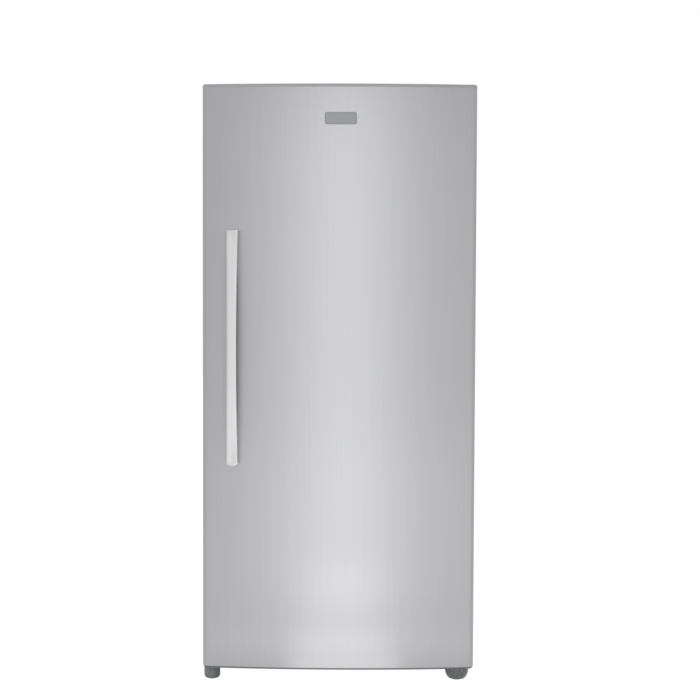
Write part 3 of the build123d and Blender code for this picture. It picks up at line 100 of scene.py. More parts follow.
# Stainless steel sheet, brushed up and down: fine streaks that run the height of the door.
# Real grit lines are 0.05 mm wide; they are drawn 2 mm wide so that a trace of them shows.
# The lines spread what it mirrors sideways, which is the anisotropy.
brushed_stainless = surface(
    "brushed_stainless_steel", ("#A1A1A3", "#A4A4A6"), 2, 0.0004, (0.33, 0.35),
    {"Metallic": 1, "Anisotropic": 0.35}, stretch=(1, 1, 0.004),
)
# Extruded aluminium, satin anodised along its length: softer and paler than the door.
satin_aluminium = surface(
    "satin_anodised_aluminium", ("#BEBEBF", "#C1C1C2"), 1.2, 0.0003, (0.4, 0.42),
    {"Metallic": 1, "Anisotropic": 0.7}, stretch=(1, 1, 0.02),
)
# Aluminium plate with a blasted face, which looks matt and darker than the door.
blasted_aluminium = surface(
    "blasted_aluminium_plate", ("#858689", "#929396"), 0.8, 0.01, (0.45, 0.55), {"Metallic": 1}
)
# Steel sheet painted on the coil, with a pebbled emboss of 1.5 mm grains that hides fingerprints.
pebbled_paint = surface(
    "pebbled_grey_paint_on_steel", ("#8B8D90", "#939598"), 1.5, 0.08, (0.38, 0.5),
    {"IOR": 1.5, "Coat Weight": 0.15, "Coat Roughness": 0.3},
)
# Hot dip galvanised sheet: crystals of about 9 mm, each a little lighter or darker.
galvanised_steel = surface(
    "galvanised_steel_sheet", ("#9A9D9F", "#A6A9AB"), 9, 0.003, (0.4, 0.52),
    {"Metallic": 1}, texture="TexVoronoi",
)
# Enamel baked on the compressor and condenser: black with a slight orange peel of 3 mm.
black_enamel = surface(
    "baked_black_enamel", ("#161718", "#1C1D1E"), 3, 0.03, (0.25, 0.34), {"IOR": 1.52}
)
# Polyurethane foam, seen where it meets an edge: cream cells of about 1 mm.
cream_foam = surface(
    "polyurethane_foam", ("#C7B384", "#DCCBA2"), 1.1, 0.3, (0.85, 0.95), {"IOR": 1.4}
)
# Polystyrene sheet drawn into its form hot: white, glossy, with a broad ripple of 25 mm.
drawn_liner = surface(
    "drawn_white_polystyrene", ("#E6E7E6", "#EBECEB"), 25, 0.08, (0.2, 0.28), {"IOR": 1.55}
)
# Moulded white ABS with a fine spark eroded grain, for housings, shelf edges and the duct.
moulded_white = surface(
    "moulded_white_abs", ("#E2E3E2", "#E8E9E8"), 0.7, 0.015, (0.34, 0.44), {"IOR": 1.53}
)
# Moulded grey ABS of the door's upper cap, the knob and the hinge cover, with the same grain.
moulded_grey = surface(
    "moulded_grey_abs", ("#97979A", "#9D9DA0"), 0.7, 0.015, (0.4, 0.5), {"IOR": 1.53}
)
# The same grey plastic, painted slate grey as the shade under the door's lower edge: the door's lower
# cap, which reads as a dark line under it.
moulded_grey_painted_shade = surface(
    "moulded_grey_abs_painted_shade", ("#5C5D60", "#646569"), 0.7, 0.015, (0.42, 0.52), {"IOR": 1.53}
)
# Glass filled nylon of feet and wheels: dark grey and mottled by its fibres.
filled_nylon = surface(
    "glass_filled_grey_nylon", ("#515253", "#8B8C8D"), 4, 0.05, (0.5, 0.62), {"IOR": 1.53}
)
# Moulded black ABS of fan wheels, the tray and the power inlet.
moulded_black = surface(
    "moulded_black_abs", ("#1B1C1D", "#232425"), 0.8, 0.015, (0.36, 0.46), {"IOR": 1.53}
)
# Soft PVC extrusion of the door seal: pale grey and matt, with faint lines along it.
seal_vinyl = surface(
    "soft_grey_pvc", ("#9FA1A2", "#A8AAAB"), 2, 0.02, (0.5, 0.6), {"IOR": 1.52}
)
# Black rubber of the compressor's mounts.
mount_rubber = surface(
    "black_epdm_rubber", ("#1F1F20", "#29292A"), 1.5, 0.03, (0.7, 0.8), {"IOR": 1.5}
)
# Dark ink printed on mouldings by a pad, matt and slightly uneven.
printed_ink = surface(
    "pad_printed_dark_ink", ("#2B2D2F", "#35373A"), 0.6, 0.004, (0.5, 0.6), {"IOR": 1.5}
)
# Drawn copper tube, dulled in patches of about 12 mm where it was brazed and handled.
drawn_copper = surface(
    "drawn_copper_tube", ("#A8674A", "#C98D6B"), 12, 0.005, (0.25, 0.42), {"Metallic": 1}
)
# Mill finish aluminium of the evaporator's tube and fins.
mill_aluminium = surface(
    "mill_finish_aluminium", ("#B4B7B9", "#C6C9CB"), 4, 0.005, (0.32, 0.45), {"Metallic": 1}
)
# Clear polystyrene of bins and drawers, polished in the mould, with a faint flow ripple of 30 mm.
clear_styrene = surface(
    "clear_moulded_polystyrene", ("#F1F6F8", "#F7FAFB"), 30, 0.03, (0.08, 0.14),
    {"IOR": 1.45, "Transmission Weight": 0.72},
)
# Frosted acrylic over the lamps: small prisms of 4 mm spread the light.
frosted_acrylic = surface(
    "frosted_acrylic_lens", ("#F0F1F0", "#F6F7F6"), 4, 0.15, (0.4, 0.5),
    {
        "IOR": 1.49, "Transmission Weight": 0.4,
        "Emission Color": (1, 0.97, 0.9, 1), "Emission Strength": 1.6,
    },
    texture="TexVoronoi",
)
# Tempered float glass: clear through its face, green where the light runs along inside the edge.
float_glass = surface(
    "tempered_float_glass", ("#EAF4F0", "#EFF7F3"), 60, 0.01, (0.02, 0.04),
    {"IOR": 1.52, "Transmission Weight": 0.95},
)
glass_tree = float_glass.node_tree
facing = add_node(glass_tree, "SeparateXYZ", {0: add_node(glass_tree, "TexCoord", {}).outputs["Normal"]})
upright = add_node(glass_tree, "Math", {"operation": "ABSOLUTE", 0: facing.outputs["Z"]})
edge_green = add_node(glass_tree, "ValToRGB", {"Fac": upright.outputs["Value"]})
edge_green.color_ramp.elements[0].color = linear("#6FA48F")
edge_green.color_ramp.elements[1].color = linear("#ECF5F1")
glass_colour = glass_tree.nodes["Principled BSDF"].inputs["Base Color"]
glass_tree.links.new(edge_green.outputs["Color"], glass_colour)

finish_of = {
    brushed_stainless: ("door_outer_skin",),
    pebbled_paint: ("side_panel_left", "side_panel_right", "top_panel"),
    galvanised_steel: (
        "back_panel", "bottom_deck", "base_frame", "compressor_base_plate", "machine_cover",
        "condenser_fan_motor", "handle_studs", "upper_hinge_bracket", "lower_hinge_bracket",
    ),
    black_enamel: ("compressor", "condenser_coil"),
    cream_foam: ("cabinet_foam", "door_foam"),
    drawn_liner: ("inner_liner", "door_liner"),
    moulded_white: (
        "air_duct_cover", "drain_trough", "control_housing", "door_switch", "switch_plunger",
        "shelf_trims", "crisper_cover_frame", "evaporator_fan_blade", "hinge_bushings",
    ),
    moulded_grey: ("door_top_cap", "hinge_cover", "temperature_knob"),
    # The lower cap takes a darker copy of the grey plastic, which is painted shade.
    moulded_grey_painted_shade: ("door_bottom_cap",),
    filled_nylon: (
        "leveling_foot_left", "leveling_foot_right", "rear_roller_left", "rear_roller_right",
    ),
    moulded_black: (
        "condenser_fan_blade", "evaporator_fan_motor", "drain_pan", "relay_cover", "power_inlet",
    ),
    seal_vinyl: ("door_gasket",),
    mount_rubber: ("compressor_mounts",),
    drawn_copper: ("refrigerant_lines",),
    mill_aluminium: ("evaporator_coil",),
    satin_aluminium: ("door_handle",),
    blasted_aluminium: ("badge_plate",),
    clear_styrene: (
        "door_bin_1", "door_bin_2", "door_bin_3", "dairy_compartment", "dairy_lid",
        "crisper_left", "crisper_right",
    ),
    frosted_acrylic: ("light_lens",),
    float_glass: (
        "shelf_glass_1", "shelf_glass_2", "shelf_glass_3", "shelf_glass_4", "crisper_cover_glass",
    ),
}
for finish, painted in finish_of.items():
    for node_name in painted:
        for slot in nodes[node_name].material_slots:
            slot.material = finish


# Ways of working

# The share of a direction that has to lie along an axis for it to count as along it.
along = 0.9
# How far a cutter stands out of what it cuts.
cutter_over = 0.01
# The turns that point a round piece at the front or the rear, and the sides of a screw's head.
to_front = (pi / 2, 0, 0)
to_rear = (-pi / 2, 0, 0)
screw_sides = 24


def take(piece):
    """Leaves only this piece selected."""
    bpy.ops.object.select_all(action="DESELECT")
    piece.select_set(True)
    bpy.context.view_layer.objects.active = piece


def bake_place():
    """Puts the place, turn and scale of the selected piece into its mesh."""
    bpy.ops.object.transform_apply(location=True, rotation=True, scale=True)


def open_new(name):
    """Names the piece just added, puts its place into its mesh and opens it for editing."""
    piece = bpy.context.object
    piece.name = name
    take(piece)
    bake_place()
    bpy.ops.object.mode_set(mode="EDIT")
    return piece


def close_up():
    """Ends the editing of a piece."""
    bpy.ops.object.mode_set(mode="OBJECT")


def block(name, low, high):
    """A cube added at its size and place, open for editing."""
    low, high = Vector(low), Vector(high)
    bpy.ops.mesh.primitive_cube_add(size=1, location=(low + high) / 2, scale=high - low)
    return open_new(name)


def cutting_block(name, low, high):
    """A cube that is only there to cut."""
    cutter = block(name, low, high)
    close_up()
    return cutter


def pick(kind, test):
    """In edit mode, selects the corners, edges or faces whose place and direction pass the test."""
    bpy.ops.mesh.select_mode(type=kind)
    bpy.ops.mesh.select_all(action="DESELECT")
    mesh = bpy.context.edit_object.data
    form = bmesh.from_edit_mesh(mesh)
    if kind == "VERT":
        found = [v for v in form.verts if test(v.co, v.normal)]
    elif kind == "EDGE":
        ends = [(e, e.verts[0].co, e.verts[1].co) for e in form.edges]
        found = [e for e, a, b in ends if test((a + b) / 2, (b - a).normalized())]
    else:
        found = [f for f in form.faces if test(f.calc_center_median(), f.normal)]
    for part in found:
        part.select_set(True)
    form.select_flush_mode()
    bmesh.update_edit_mesh(mesh)


def near(a, b):
    """Whether two places are the same to a tenth of a millimetre."""
    return abs(a - b) < 0.0001


def pull(x, y, z):
    """Extrudes what is selected by that much."""
    bpy.ops.mesh.extrude_region_move(TRANSFORM_OT_translate={"value": (x, y, z)})


def resize(x, y, z):
    """Scales what is selected about its middle."""
    bpy.ops.transform.resize(value=(x, y, z))


def round_edges(width, segments):
    """Rounds the selected edges."""
    bpy.ops.mesh.bevel(offset=width, segments=segments, affect="EDGES")


def round_along(axis, width, segments):
    """Rounds all edges that run along an axis."""
    pick("EDGE", lambda at, way: abs(getattr(way, axis)) > along)
    round_edges(width, segments)


def slice_at(place, way, drop=False, fill=False):
    """Cuts the form along a plane; drop takes away what lies that way of it, fill closes the cut."""
    bpy.ops.mesh.select_all(action="SELECT")
    bpy.ops.mesh.bisect(plane_co=place, plane_no=way, clear_outer=drop, use_fill=fill)


def round_off(centre, radius, leans, fill=False):
    """Rounds a lower corner or end, one flat cut for each lean from straight down."""
    for lean in leans:
        out = Vector((sin(lean), 0, -cos(lean)))
        slice_at(centre + radius * out, out, drop=True, fill=fill)


def work(piece, kind, settings):
    """Adds a modifier with its settings and applies it."""
    take(piece)
    modifier = piece.modifiers.new(kind, kind)
    for name, value in settings.items():
        setattr(modifier, name, value)
    bpy.ops.object.modifier_apply(modifier=kind)


def soften(piece, width, segments, least_angle):
    """Rounds all edges that are sharper than an angle in degrees."""
    limit = radians(least_angle)
    work(
        piece, "BEVEL",
        {"width": width, "segments": segments, "limit_method": "ANGLE", "angle_limit": limit},
    )


def cut(piece, cutter):
    """Cuts the form of another piece out of this one, which stays whole."""
    work(piece, "BOOLEAN", {"object": cutter, "operation": "DIFFERENCE", "solver": "EXACT"})


def cut_with(piece, cutter):
    """Cuts with a form that is only there to cut, and removes it."""
    cut(piece, cutter)
    bpy.data.objects.remove(cutter)


def mirrored(piece):
    """A copy on the other side of the middle, with its own mesh."""
    take(piece)
    bpy.ops.object.duplicate(linked=False)
    other_side = bpy.context.object
    other_side.scale = (-1, 1, 1)
    bake_place()
    return other_side


def done(piece, finish, slot_name, body, *stands_for, crease=32, outward=True):
    """Merges double corners, turns faces out, smooths the piece and gives it its finish and body."""
    take(piece)
    if outward:
        bpy.ops.object.mode_set(mode="EDIT")
        bpy.ops.mesh.select_all(action="SELECT")
        bpy.ops.mesh.remove_doubles(threshold=0.00001)
        bpy.ops.mesh.normals_make_consistent(inside=False)
        close_up()
    bpy.ops.object.shade_smooth_by_angle(angle=radians(crease))
    piece.data.materials.clear()
    piece.data.materials.append(finish)
    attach(piece, body)
    if stands_for:
        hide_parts(*stands_for)
    bpy.ops.object.select_all(action="DESELECT")


def turned(name, profile, place, lean=(0, 0, 0), sides=48):
    """A round piece: a circle is pulled up and resized along pairs of radius and height."""
    radius, height = profile[0]
    bpy.ops.mesh.primitive_circle_add(
        vertices=sides, radius=radius, location=(0, 0, height), fill_type="NGON"
    )
    piece = open_new(name)
    bpy.ops.mesh.select_mode(type="FACE")
    bpy.ops.mesh.select_all(action="SELECT")
    for next_radius, next_height in profile[1:]:
        pull(0, 0, next_height - height)
        scale = next_radius / radius
        resize(scale, scale, 1)
        radius, height = next_radius, next_height
    close_up()
    piece.rotation_euler = lean
    piece.location = place
    bake_place()
    return piece


def gather(pieces):
    """Joins pieces into the first of them."""
    bpy.ops.object.select_all(action="DESELECT")
    for piece in pieces:
        piece.select_set(True)
    bpy.context.view_layer.objects.active = pieces[0]
    bpy.ops.object.join()
    return pieces[0]


def copies(piece, places):
    """Copies a piece, each copy with its own mesh, to all the offsets and joins them to it."""
    made = [piece]
    for offset in places:
        take(piece)
        bpy.ops.object.duplicate(linked=False)
        copy = bpy.context.object
        copy.location = offset
        bake_place()
        made.append(copy)
    gather(made)


# Two kinds of head, as pairs of radius and height from the face that they sit on.
pan_head = [
    (0.0041, -0.0012), (0.0041, 0.0008), (0.0038, 0.0016), (0.0031, 0.0021), (0.0022, 0.0023),
]
hex_head = [
    (0.0075, -0.0005), (0.0075, 0.0008), (0.0052, 0.0010), (0.0055, 0.0012), (0.0055, 0.0042),
    (0.0048, 0.0047),
]
cross_length = 0.0044
cross_width = cross_length / 4
cross_depth = 0.0011
cross_top = 0.001
cross_taper = 0.6


def fixings(name, profile, sides, lean, places, body, crossed=True):
    """Screws of one kind: a head is turned, may get a cross sunk in it, and is copied."""
    head = turned(name, profile, (0, 0, 0), sides=sides)
    top = profile[-1][1]
    arms = ((cross_length, cross_width), (cross_width, cross_length)) if crossed else ()
    for width, height in arms:
        low = (-width / 2, -height / 2, top - cross_depth)
        high = (width / 2, height / 2, top + cross_top)
        cutter = block("cross", low, high)
        pick("FACE", lambda at, way: way.z < -along)
        resize(cross_taper, cross_taper, 1)
        close_up()
        cut_with(head, cutter)
    take(head)
    head.rotation_euler = lean
    head.location = places[0]
    bake_place()
    copies(head, [Vector(place) - Vector(places[0]) for place in places[1:]])
    done(head, galvanised_steel, "zinc_steel", body)


# Door

skin_low, skin_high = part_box("door_outer_skin")
door_half = skin_high.x
door_edge = 0.058
door_bow = 0.022
bow_steps = 56
door_corner = 0.012
low_corner = 0.012
corner_cuts = 6
skin_lip = 0.014
sheet = 0.001
rear_y = skin_high.y
edge_y = rear_y - door_edge
bow_radius = (door_half**2 + door_bow**2) / (2 * door_bow)
bow_y = edge_y - door_bow + bow_radius

# The outer sheet starts as its left side, its front edge is spun round the bow's centre,
# and the far edge is pulled back for the right side; narrow lips turn in at the rear, and
# the lower corners are cut round.
bpy.ops.mesh.primitive_plane_add(
    size=1,
    location=(-door_half, (edge_y + rear_y) / 2, (skin_low.z + skin_high.z) / 2),
    rotation=(0, pi / 2, 0),
)
bpy.context.object.scale = (skin_high.z - skin_low.z, rear_y - edge_y, 1)
door_sheet = open_new("door_sheet")
pick("EDGE", lambda at, way: near(at.y, edge_y))
bpy.ops.mesh.spin(
    steps=bow_steps, angle=-2 * asin(door_half / bow_radius), center=(0, bow_y, 0), axis=(0, 0, 1)
)
pick("EDGE", lambda at, way: near(at.x, door_half) and abs(way.z) > along)
pull(0, rear_y - edge_y, 0)
pick(
    "EDGE",
    lambda at, way: near(abs(at.x), door_half) and near(at.y, edge_y) and abs(way.z) > along,
)
round_edges(door_corner, 8)
for side in (-1, 1):
    pick("EDGE", lambda at, way: near(at.x, side * door_half) and near(at.y, rear_y))
    pull(-side * skin_lip, 0, 0)
door_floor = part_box("door_bottom_cap")[0].z
for side in (-1, 1):
    centre = Vector((side * (door_half - low_corner), 0, door_floor + low_corner))
    round_off(centre, low_corner, [side * pi / 2 * step / corner_cuts for step in range(1, corner_cuts)])
bpy.ops.mesh.select_all(action="SELECT")
bpy.ops.mesh.normals_make_consistent(inside=False)
close_up()
work(door_sheet, "SOLIDIFY", {"thickness": sheet, "offset": -1})
done(door_sheet, brushed_stainless, "stainless", "door", "door_outer_skin", outward=False)

# The handle: a block cut into short lengths, each set to the bow and the width of the bar at
# its height. It is narrower at the rear, its front edges are rounded and so is its lower end.
handle_low, handle_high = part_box("door_handle")
handle_z = (handle_low.z + handle_high.z) / 2
handle_reach = (handle_high.z - handle_low.z) / 2
outer_rise = 0.028
inner_rise = 0.0438
inner_reach = 0.293
bar_spread = 0.0025
bar_left = handle_low.x - bar_spread
bar_middle = (bar_left + handle_high.x) / 2
bar_depth = 0.017
bar_cuts = 70
waist_width = 0.0325
waist = waist_width / (handle_high.x - bar_left)
rear_share = 0.7
front_layer = 0.003
front_round = 0.0155
foot_sink = 0.00037
foot_y = handle_high.y + foot_sink
tip_radius = 0.026
tip_cuts = 10


def arc_depth(reach, rise, height):
    """How far an arc of that reach and rise falls back from its middle at that height."""
    radius = (reach**2 + rise**2) / (2 * rise)
    return radius - sqrt(radius**2 - height**2)


bar = block(
    "door_handle_bar", (bar_left, handle_low.y, handle_low.z), (handle_high.x, foot_y, handle_high.z)
)
pick("EDGE", lambda at, way: abs(way.z) > along)
bpy.ops.mesh.subdivide(number_cuts=bar_cuts)
levels = sorted({round(v.co.z, 5) for v in bmesh.from_edit_mesh(bar.data).verts})
for level in levels:
    rise = level - handle_z
    front = arc_depth(handle_reach, outer_rise, rise)
    pick("VERT", lambda at, way: near(at.z, level) and near(at.y, handle_low.y))
    bpy.ops.transform.translate(value=(0, front, 0))
    rear = handle_low.y + bar_depth + arc_depth(inner_reach, inner_rise, min(abs(rise), inner_reach))
    if rear < foot_y:
        pick("VERT", lambda at, way: near(at.z, level) and near(at.y, foot_y))
        bpy.ops.transform.translate(value=(0, rear - foot_y, 0))
    pick("VERT", lambda at, way: near(at.z, level))
    narrow = waist + (1 - waist) * (rise / handle_reach) ** 2
    resize(narrow, 1, 1)
    pick("VERT", lambda at, way: near(at.z, level) and at.y > handle_low.y + front + front_layer)
    resize(rear_share, 1, 1)
pick(
    "EDGE",
    lambda at, way: abs(way.z) > along
    and at.y < handle_low.y + arc_depth(handle_reach, outer_rise, at.z - handle_z) + front_layer,
)
bpy.ops.mesh.bevel(offset=front_round, segments=14, profile=0.8, affect="EDGES")
tip_leans = [radians(90 * (step + 0.5) / tip_cuts - 45) for step in range(tip_cuts)]
round_off(Vector((bar_middle, 0, handle_low.z + tip_radius)), tip_radius, tip_leans, fill=True)
close_up()
done(bar, satin_aluminium, "handle_aluminium", "door", "door_handle")

# The badge: a bare plate with rounded corners, and a face sunk a little inside its rim.
badge_low, badge_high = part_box("badge_plate")
badge_corner = 0.006
rim_slope = 0.0006
rim_height = 0.0004
rim_width = 0.0018
face_slope = 0.0004
face_depth = 0.0005
badge = block("bare_badge", badge_low, badge_high)
round_along("y", badge_corner, 6)
pick("FACE", lambda at, way: way.y < -along)
bpy.ops.mesh.inset(thickness=rim_slope, depth=rim_height)
bpy.ops.mesh.inset(thickness=rim_width)
bpy.ops.mesh.inset(thickness=face_slope, depth=-face_depth)
close_up()
done(badge, blasted_aluminium, "stainless", "door", "badge_plate")

# The door's inner liner: a flat sheet, a leaning ridge drawn out of it all round and hollow at the
# rear, soft where it folds, and lugs on the ridge's inner sides that carry the bins.
liner_low, liner_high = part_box("door_liner")
liner_wall = 0.002
liner_corner = 0.008
ridge_width = 0.039
ridge_below = 0.089
ridge_above = 0.125
ridge_corner = 0.030
ridge_lean = radians(3)
ridge_fold = 0.009
bin_play = 0.001
cover_play = 0.0005
ridge_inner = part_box("dairy_compartment")[1].x + bin_play
ridge_cover = ridge_width + cover_play
ridge_low = Vector((-ridge_inner - ridge_width, liner_low.y, liner_low.z + ridge_below))
ridge_high = Vector((ridge_inner + ridge_width, liner_high.y, liner_high.z - ridge_above))
ridge_size = ridge_high - ridge_low
ridge_draft = 2 * ridge_size.y * tan(ridge_lean)
ridge = block("ridge", ridge_low, ridge_high)
round_along("y", ridge_corner, 8)
pick("FACE", lambda at, way: way.y > along)
resize(1 - ridge_draft / ridge_size.x, 1, 1 - ridge_draft / ridge_size.z)
close_up()
inner_space = cutting_block(
    "inner_space", (-ridge_inner, liner_low.y - cutter_over, ridge_low.z + ridge_cover),
    (ridge_inner, liner_high.y + cutter_over, ridge_high.z - ridge_cover),
)
cut_with(ridge, inner_space)
liner = block("door_liner_formed", liner_low, (liner_high.x, liner_low.y + liner_wall, liner_high.z))
round_along("y", liner_corner, 5)
close_up()
cut(liner, ridge)
take(ridge)
bpy.ops.object.mode_set(mode="EDIT")
pick("FACE", lambda at, way: near(at.y, liner_low.y) and way.y < -along)
bpy.ops.mesh.delete(type="FACE")
close_up()
soften(ridge, ridge_fold, 5, 40)
work(ridge, "SOLIDIFY", {"thickness": liner_wall, "offset": -1})
lug_size = Vector((0.009, 0.044, 0.006))
lug_bite = 0.001
lug_round = 0.0015
lug_ahead = 0.020
lug_front = liner_low.y + liner_wall + lug_ahead
lug_floors = [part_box(f"door_bin_{number}")[0].z for number in (1, 2, 3)]
lug_floors.append(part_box("dairy_compartment")[0].z)
first_lug = Vector((ridge_inner + lug_bite - lug_size.x, lug_front, lug_floors[0] - lug_size.z))
lugs = block("lugs", first_lug, first_lug + lug_size)
pick("EDGE", lambda at, way: near(at.x, first_lug.x))
round_edges(lug_round, 3)
close_up()
copies(lugs, [(0, 0, floor_z - lug_floors[0]) for floor_z in lug_floors[1:]])
gather([liner, lugs, mirrored(lugs), ridge])
done(liner, drawn_liner, "liner", "door", "door_liner")

# The seal: a top rail and a side rail, folded into pleats and cut to a mitre at both ends, are
# each set round the door twice.
seal_low, seal_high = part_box("door_gasket")
seal_width = 0.020
pleats = 6
pleat_waist = 0.62
seal_depth = seal_high.y - seal_low.y
seal_middle = (seal_low.z + seal_high.z) / 2
seal_reach = {"seal_top": seal_high.x, "seal_side": (seal_high.z - seal_low.z) / 2}
rails = {}
for name, reach in seal_reach.items():
    other = seal_reach["seal_side" if name == "seal_top" else "seal_top"]
    rail = block(name, (-reach, seal_low.y, other - seal_width), (reach, seal_high.y, other))
    folds = [seal_low.y + seal_depth * fold / pleats for fold in range(1, pleats)]
    for fold_y in folds:
        slice_at((0, fold_y, 0), (0, 1, 0))
    for fold_y in folds[::2]:
        pick("VERT", lambda at, way: near(at.y, fold_y))
        resize(1, 1, pleat_waist)
    for end in (-1, 1):
        slice_at((end * reach, 0, other), (end, 0, -1), drop=True)
    close_up()
    rails[name] = rail
parts = []
for name, quarter in (("seal_top", 0), ("seal_side", 1), ("seal_top", 2), ("seal_side", 3)):
    take(rails[name])
    bpy.ops.object.duplicate(linked=False)
    rail = bpy.context.object
    rail.rotation_euler = (0, quarter * pi / 2, 0)
    rail.location = (0, 0, seal_middle)
    bake_place()
    parts.append(rail)
for rail in rails.values():
    bpy.data.objects.remove(rail)
seal = gather(parts)
seal.name = "door_seal"
done(seal, seal_vinyl, "soft_rubber", "door", "door_gasket", crease=20)

# Inside the cabinet

# A drawer: the right one is a tub whose sides lean in, with a runner rim on each side and a
# grip lip turned down along its front; the left one is its mirror image.
drawer_low, drawer_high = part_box("crisper_right")
drawer_rim = 0.010
drawer_grip = 0.014
drawer_wall = 0.0025
rim_thick = 0.003
tub_low = Vector((drawer_low.x + drawer_rim, drawer_low.y + drawer_grip, drawer_low.z))
tub_high = Vector((drawer_high.x - drawer_rim, drawer_high.y, drawer_high.z))
tub_size = tub_high - tub_low
rim_floor = tub_high.z - rim_thick
rim_near = 0.001
tub_draft = 0.0126
tub_corner = 0.016
tub_sole = 0.007
tub_inside = 0.005
tub_edge = 0.0007
lean_in = (1 - tub_draft / tub_size.x, 1 - tub_draft / tub_size.y, 1)
drawer = block("crisper_tub_right", tub_low, tub_high)
pick("FACE", lambda at, way: way.z < -along)
resize(*lean_in)
round_along("z", tub_corner, 6)
pick("EDGE", lambda at, way: near(at.z, tub_low.z))
round_edges(tub_sole, 4)
pick("FACE", lambda at, way: way.z > along)
bpy.ops.mesh.inset(thickness=drawer_wall)
pull(0, 0, drawer_wall - tub_size.z)
resize(*lean_in)
pick("EDGE", lambda at, way: near(at.z, tub_low.z + drawer_wall))
round_edges(tub_inside, 3)
slice_at((0, 0, rim_floor), (0, 0, 1))
for side, edge in ((1, tub_high.x), (-1, tub_low.x)):
    pick(
        "FACE",
        lambda at, way: side * way.x > along and at.z > rim_floor and abs(at.x - edge) < rim_near,
    )
    pull(side * drawer_rim, 0, 0)
pick(
    "FACE",
    lambda at, way: way.y < -along and at.z > rim_floor and abs(at.y - tub_low.y) < rim_near,
)
pull(0, -drawer_grip, 0)
slice_at((0, drawer_low.y + drawer_wall, 0), (0, 1, 0))
pick("FACE", lambda at, way: way.z < -along and at.y < drawer_low.y + drawer_wall)
pull(0, 0, rim_thick - drawer_grip)
close_up()
soften(drawer, tub_edge, 2, 40)
left_drawer = mirrored(drawer)
left_drawer.name = "crisper_tub_left"
done(drawer, clear_styrene, "clear_plastic", "right_crisper", "crisper_right")
done(left_drawer, clear_styrene, "clear_plastic", "left_crisper", "crisper_left")

# The temperature knob: a skirt on its shaft, with a waisted grip across it that ends in a point.
knob_low, knob_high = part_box("temperature_knob")
knob_x = (knob_low.x + knob_high.x) / 2
knob_z = (knob_low.z + knob_high.z) / 2
knob_depth = 0.016
knob_back = knob_low.y + knob_depth
shaft_radius = 0.003
shaft_length = 0.013
skirt_radius = 0.02
skirt_depth = 0.006
grip_half = 0.0044
grip_tail = 0.018
grip_head = 0.0136
grip_point = 0.0044
grip_root = 0.001
grip_waist = 0.72
grip_tip = 0.12
grip_draft = (0.8, 1, 0.96)
grip_round = 0.0012
knob = turned(
    "temperature_knob_moulded",
    [
        (shaft_radius, -shaft_length), (shaft_radius, 0.0), (skirt_radius - 0.0015, 0.0),
        (skirt_radius - 0.0002, 0.0005), (skirt_radius, 0.0013), (skirt_radius, 0.0040),
        (skirt_radius - 0.0006, 0.0052), (skirt_radius - 0.0018, skirt_depth),
        (0.0115, skirt_depth), (0.0105, 0.0066), (0.009, 0.0068),
    ],
    (knob_x, knob_back, knob_z), lean=to_front, sides=64,
)
grip = block(
    "knob_grip", (knob_x - grip_half, knob_low.y, knob_z - grip_tail),
    (knob_x + grip_half, knob_back - skirt_depth + grip_root, knob_z + grip_head),
)
slice_at((0, 0, knob_z), (0, 0, 1))
pick("VERT", lambda at, way: near(at.z, knob_z))
resize(grip_waist, 1, 1)
pick("FACE", lambda at, way: way.z > along)
pull(0, 0, grip_point)
resize(grip_tip, 1, 1)
pick("FACE", lambda at, way: way.y < -along)
resize(*grip_draft)
close_up()
soften(grip, grip_round, 3, 30)
gather([knob, grip])
done(knob, moulded_grey, "grey_plastic", "knob", "temperature_knob")

# Numbers printed round its skirt, either side of the grip, and a mark above it on the housing.
dial_radius = 0.0156
dial_step = 36
digit_height = 0.0042
ink_depth = 0.0001
mark_radius = 0.0016
mark_rise = 0.0214
numbers = []
for number in range(8):
    turn = radians(dial_step * (number - 4 + (1 if number > 3 else 0)))
    bpy.ops.object.text_add(
        location=(
            knob_x + dial_radius * sin(turn), knob_back - skirt_depth, knob_z + dial_radius * cos(turn)
        ),
        rotation=(pi / 2, turn, 0),
    )
    digit = bpy.context.object
    digit.data.body = str(number)
    digit.data.size = digit_height
    digit.data.align_x, digit.data.align_y = "CENTER", "CENTER"
    digit.data.extrude = ink_depth
    take(digit)
    bpy.ops.object.convert(target="MESH")
    bake_place()
    numbers.append(bpy.context.object)
dial_numbers = gather(numbers)
dial_numbers.name = "dial_numbers"
done(dial_numbers, printed_ink, "black_plastic", "knob")
housing_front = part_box("control_housing")[0].y
mark = turned(
    "dial_mark",
    [(mark_radius, -2 * ink_depth), (mark_radius, ink_depth), (mark_radius - 0.0002, 2 * ink_depth)],
    (knob_x, housing_front, knob_z + mark_rise), lean=(pi / 2, pi, 0), sides=3,
)
done(mark, printed_ink, "black_plastic", "cabinet")

# Six screws hold the air duct's cover.
duct_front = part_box("air_duct_cover")[0].y
duct_screw_x = 0.253
duct_screw_heights = (1.228, 1.44, 1.652)
fixings(
    "duct_cover_screws", pan_head, screw_sides, to_front,
    [(side * duct_screw_x, duct_front, height) for side in (-1, 1) for height in duct_screw_heights],
    "cabinet",
)

# Hinges

# The cover of the upper hinge: a moulded cap with soft corners, open below and for the arm.
cap_low, cap_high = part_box("hinge_cover")
arm_low, arm_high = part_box("upper_hinge_bracket")
cap_corner = 0.009
cap_edge = 0.0045
cap_wall = 0.002
arm_play = 0.0005
arm_gap_depth = 0.012
hinge_cap = block("hinge_cover_moulded", cap_low, cap_high)
round_along("z", cap_corner, 6)
pick("EDGE", lambda at, way: near(at.z, cap_high.z))
round_edges(cap_edge, 4)
pick("FACE", lambda at, way: near(at.z, cap_low.z) and way.z < -along)
bpy.ops.mesh.delete(type="FACE")
close_up()
work(hinge_cap, "SOLIDIFY", {"thickness": cap_wall, "offset": -1})
arm_gap = cutting_block(
    "arm_gap", (arm_low.x - arm_play, cap_low.y - cutter_over, cap_low.z - cutter_over),
    (arm_high.x + arm_play, cap_low.y + arm_gap_depth, arm_high.z + arm_play),
)
cut_with(hinge_cap, arm_gap)
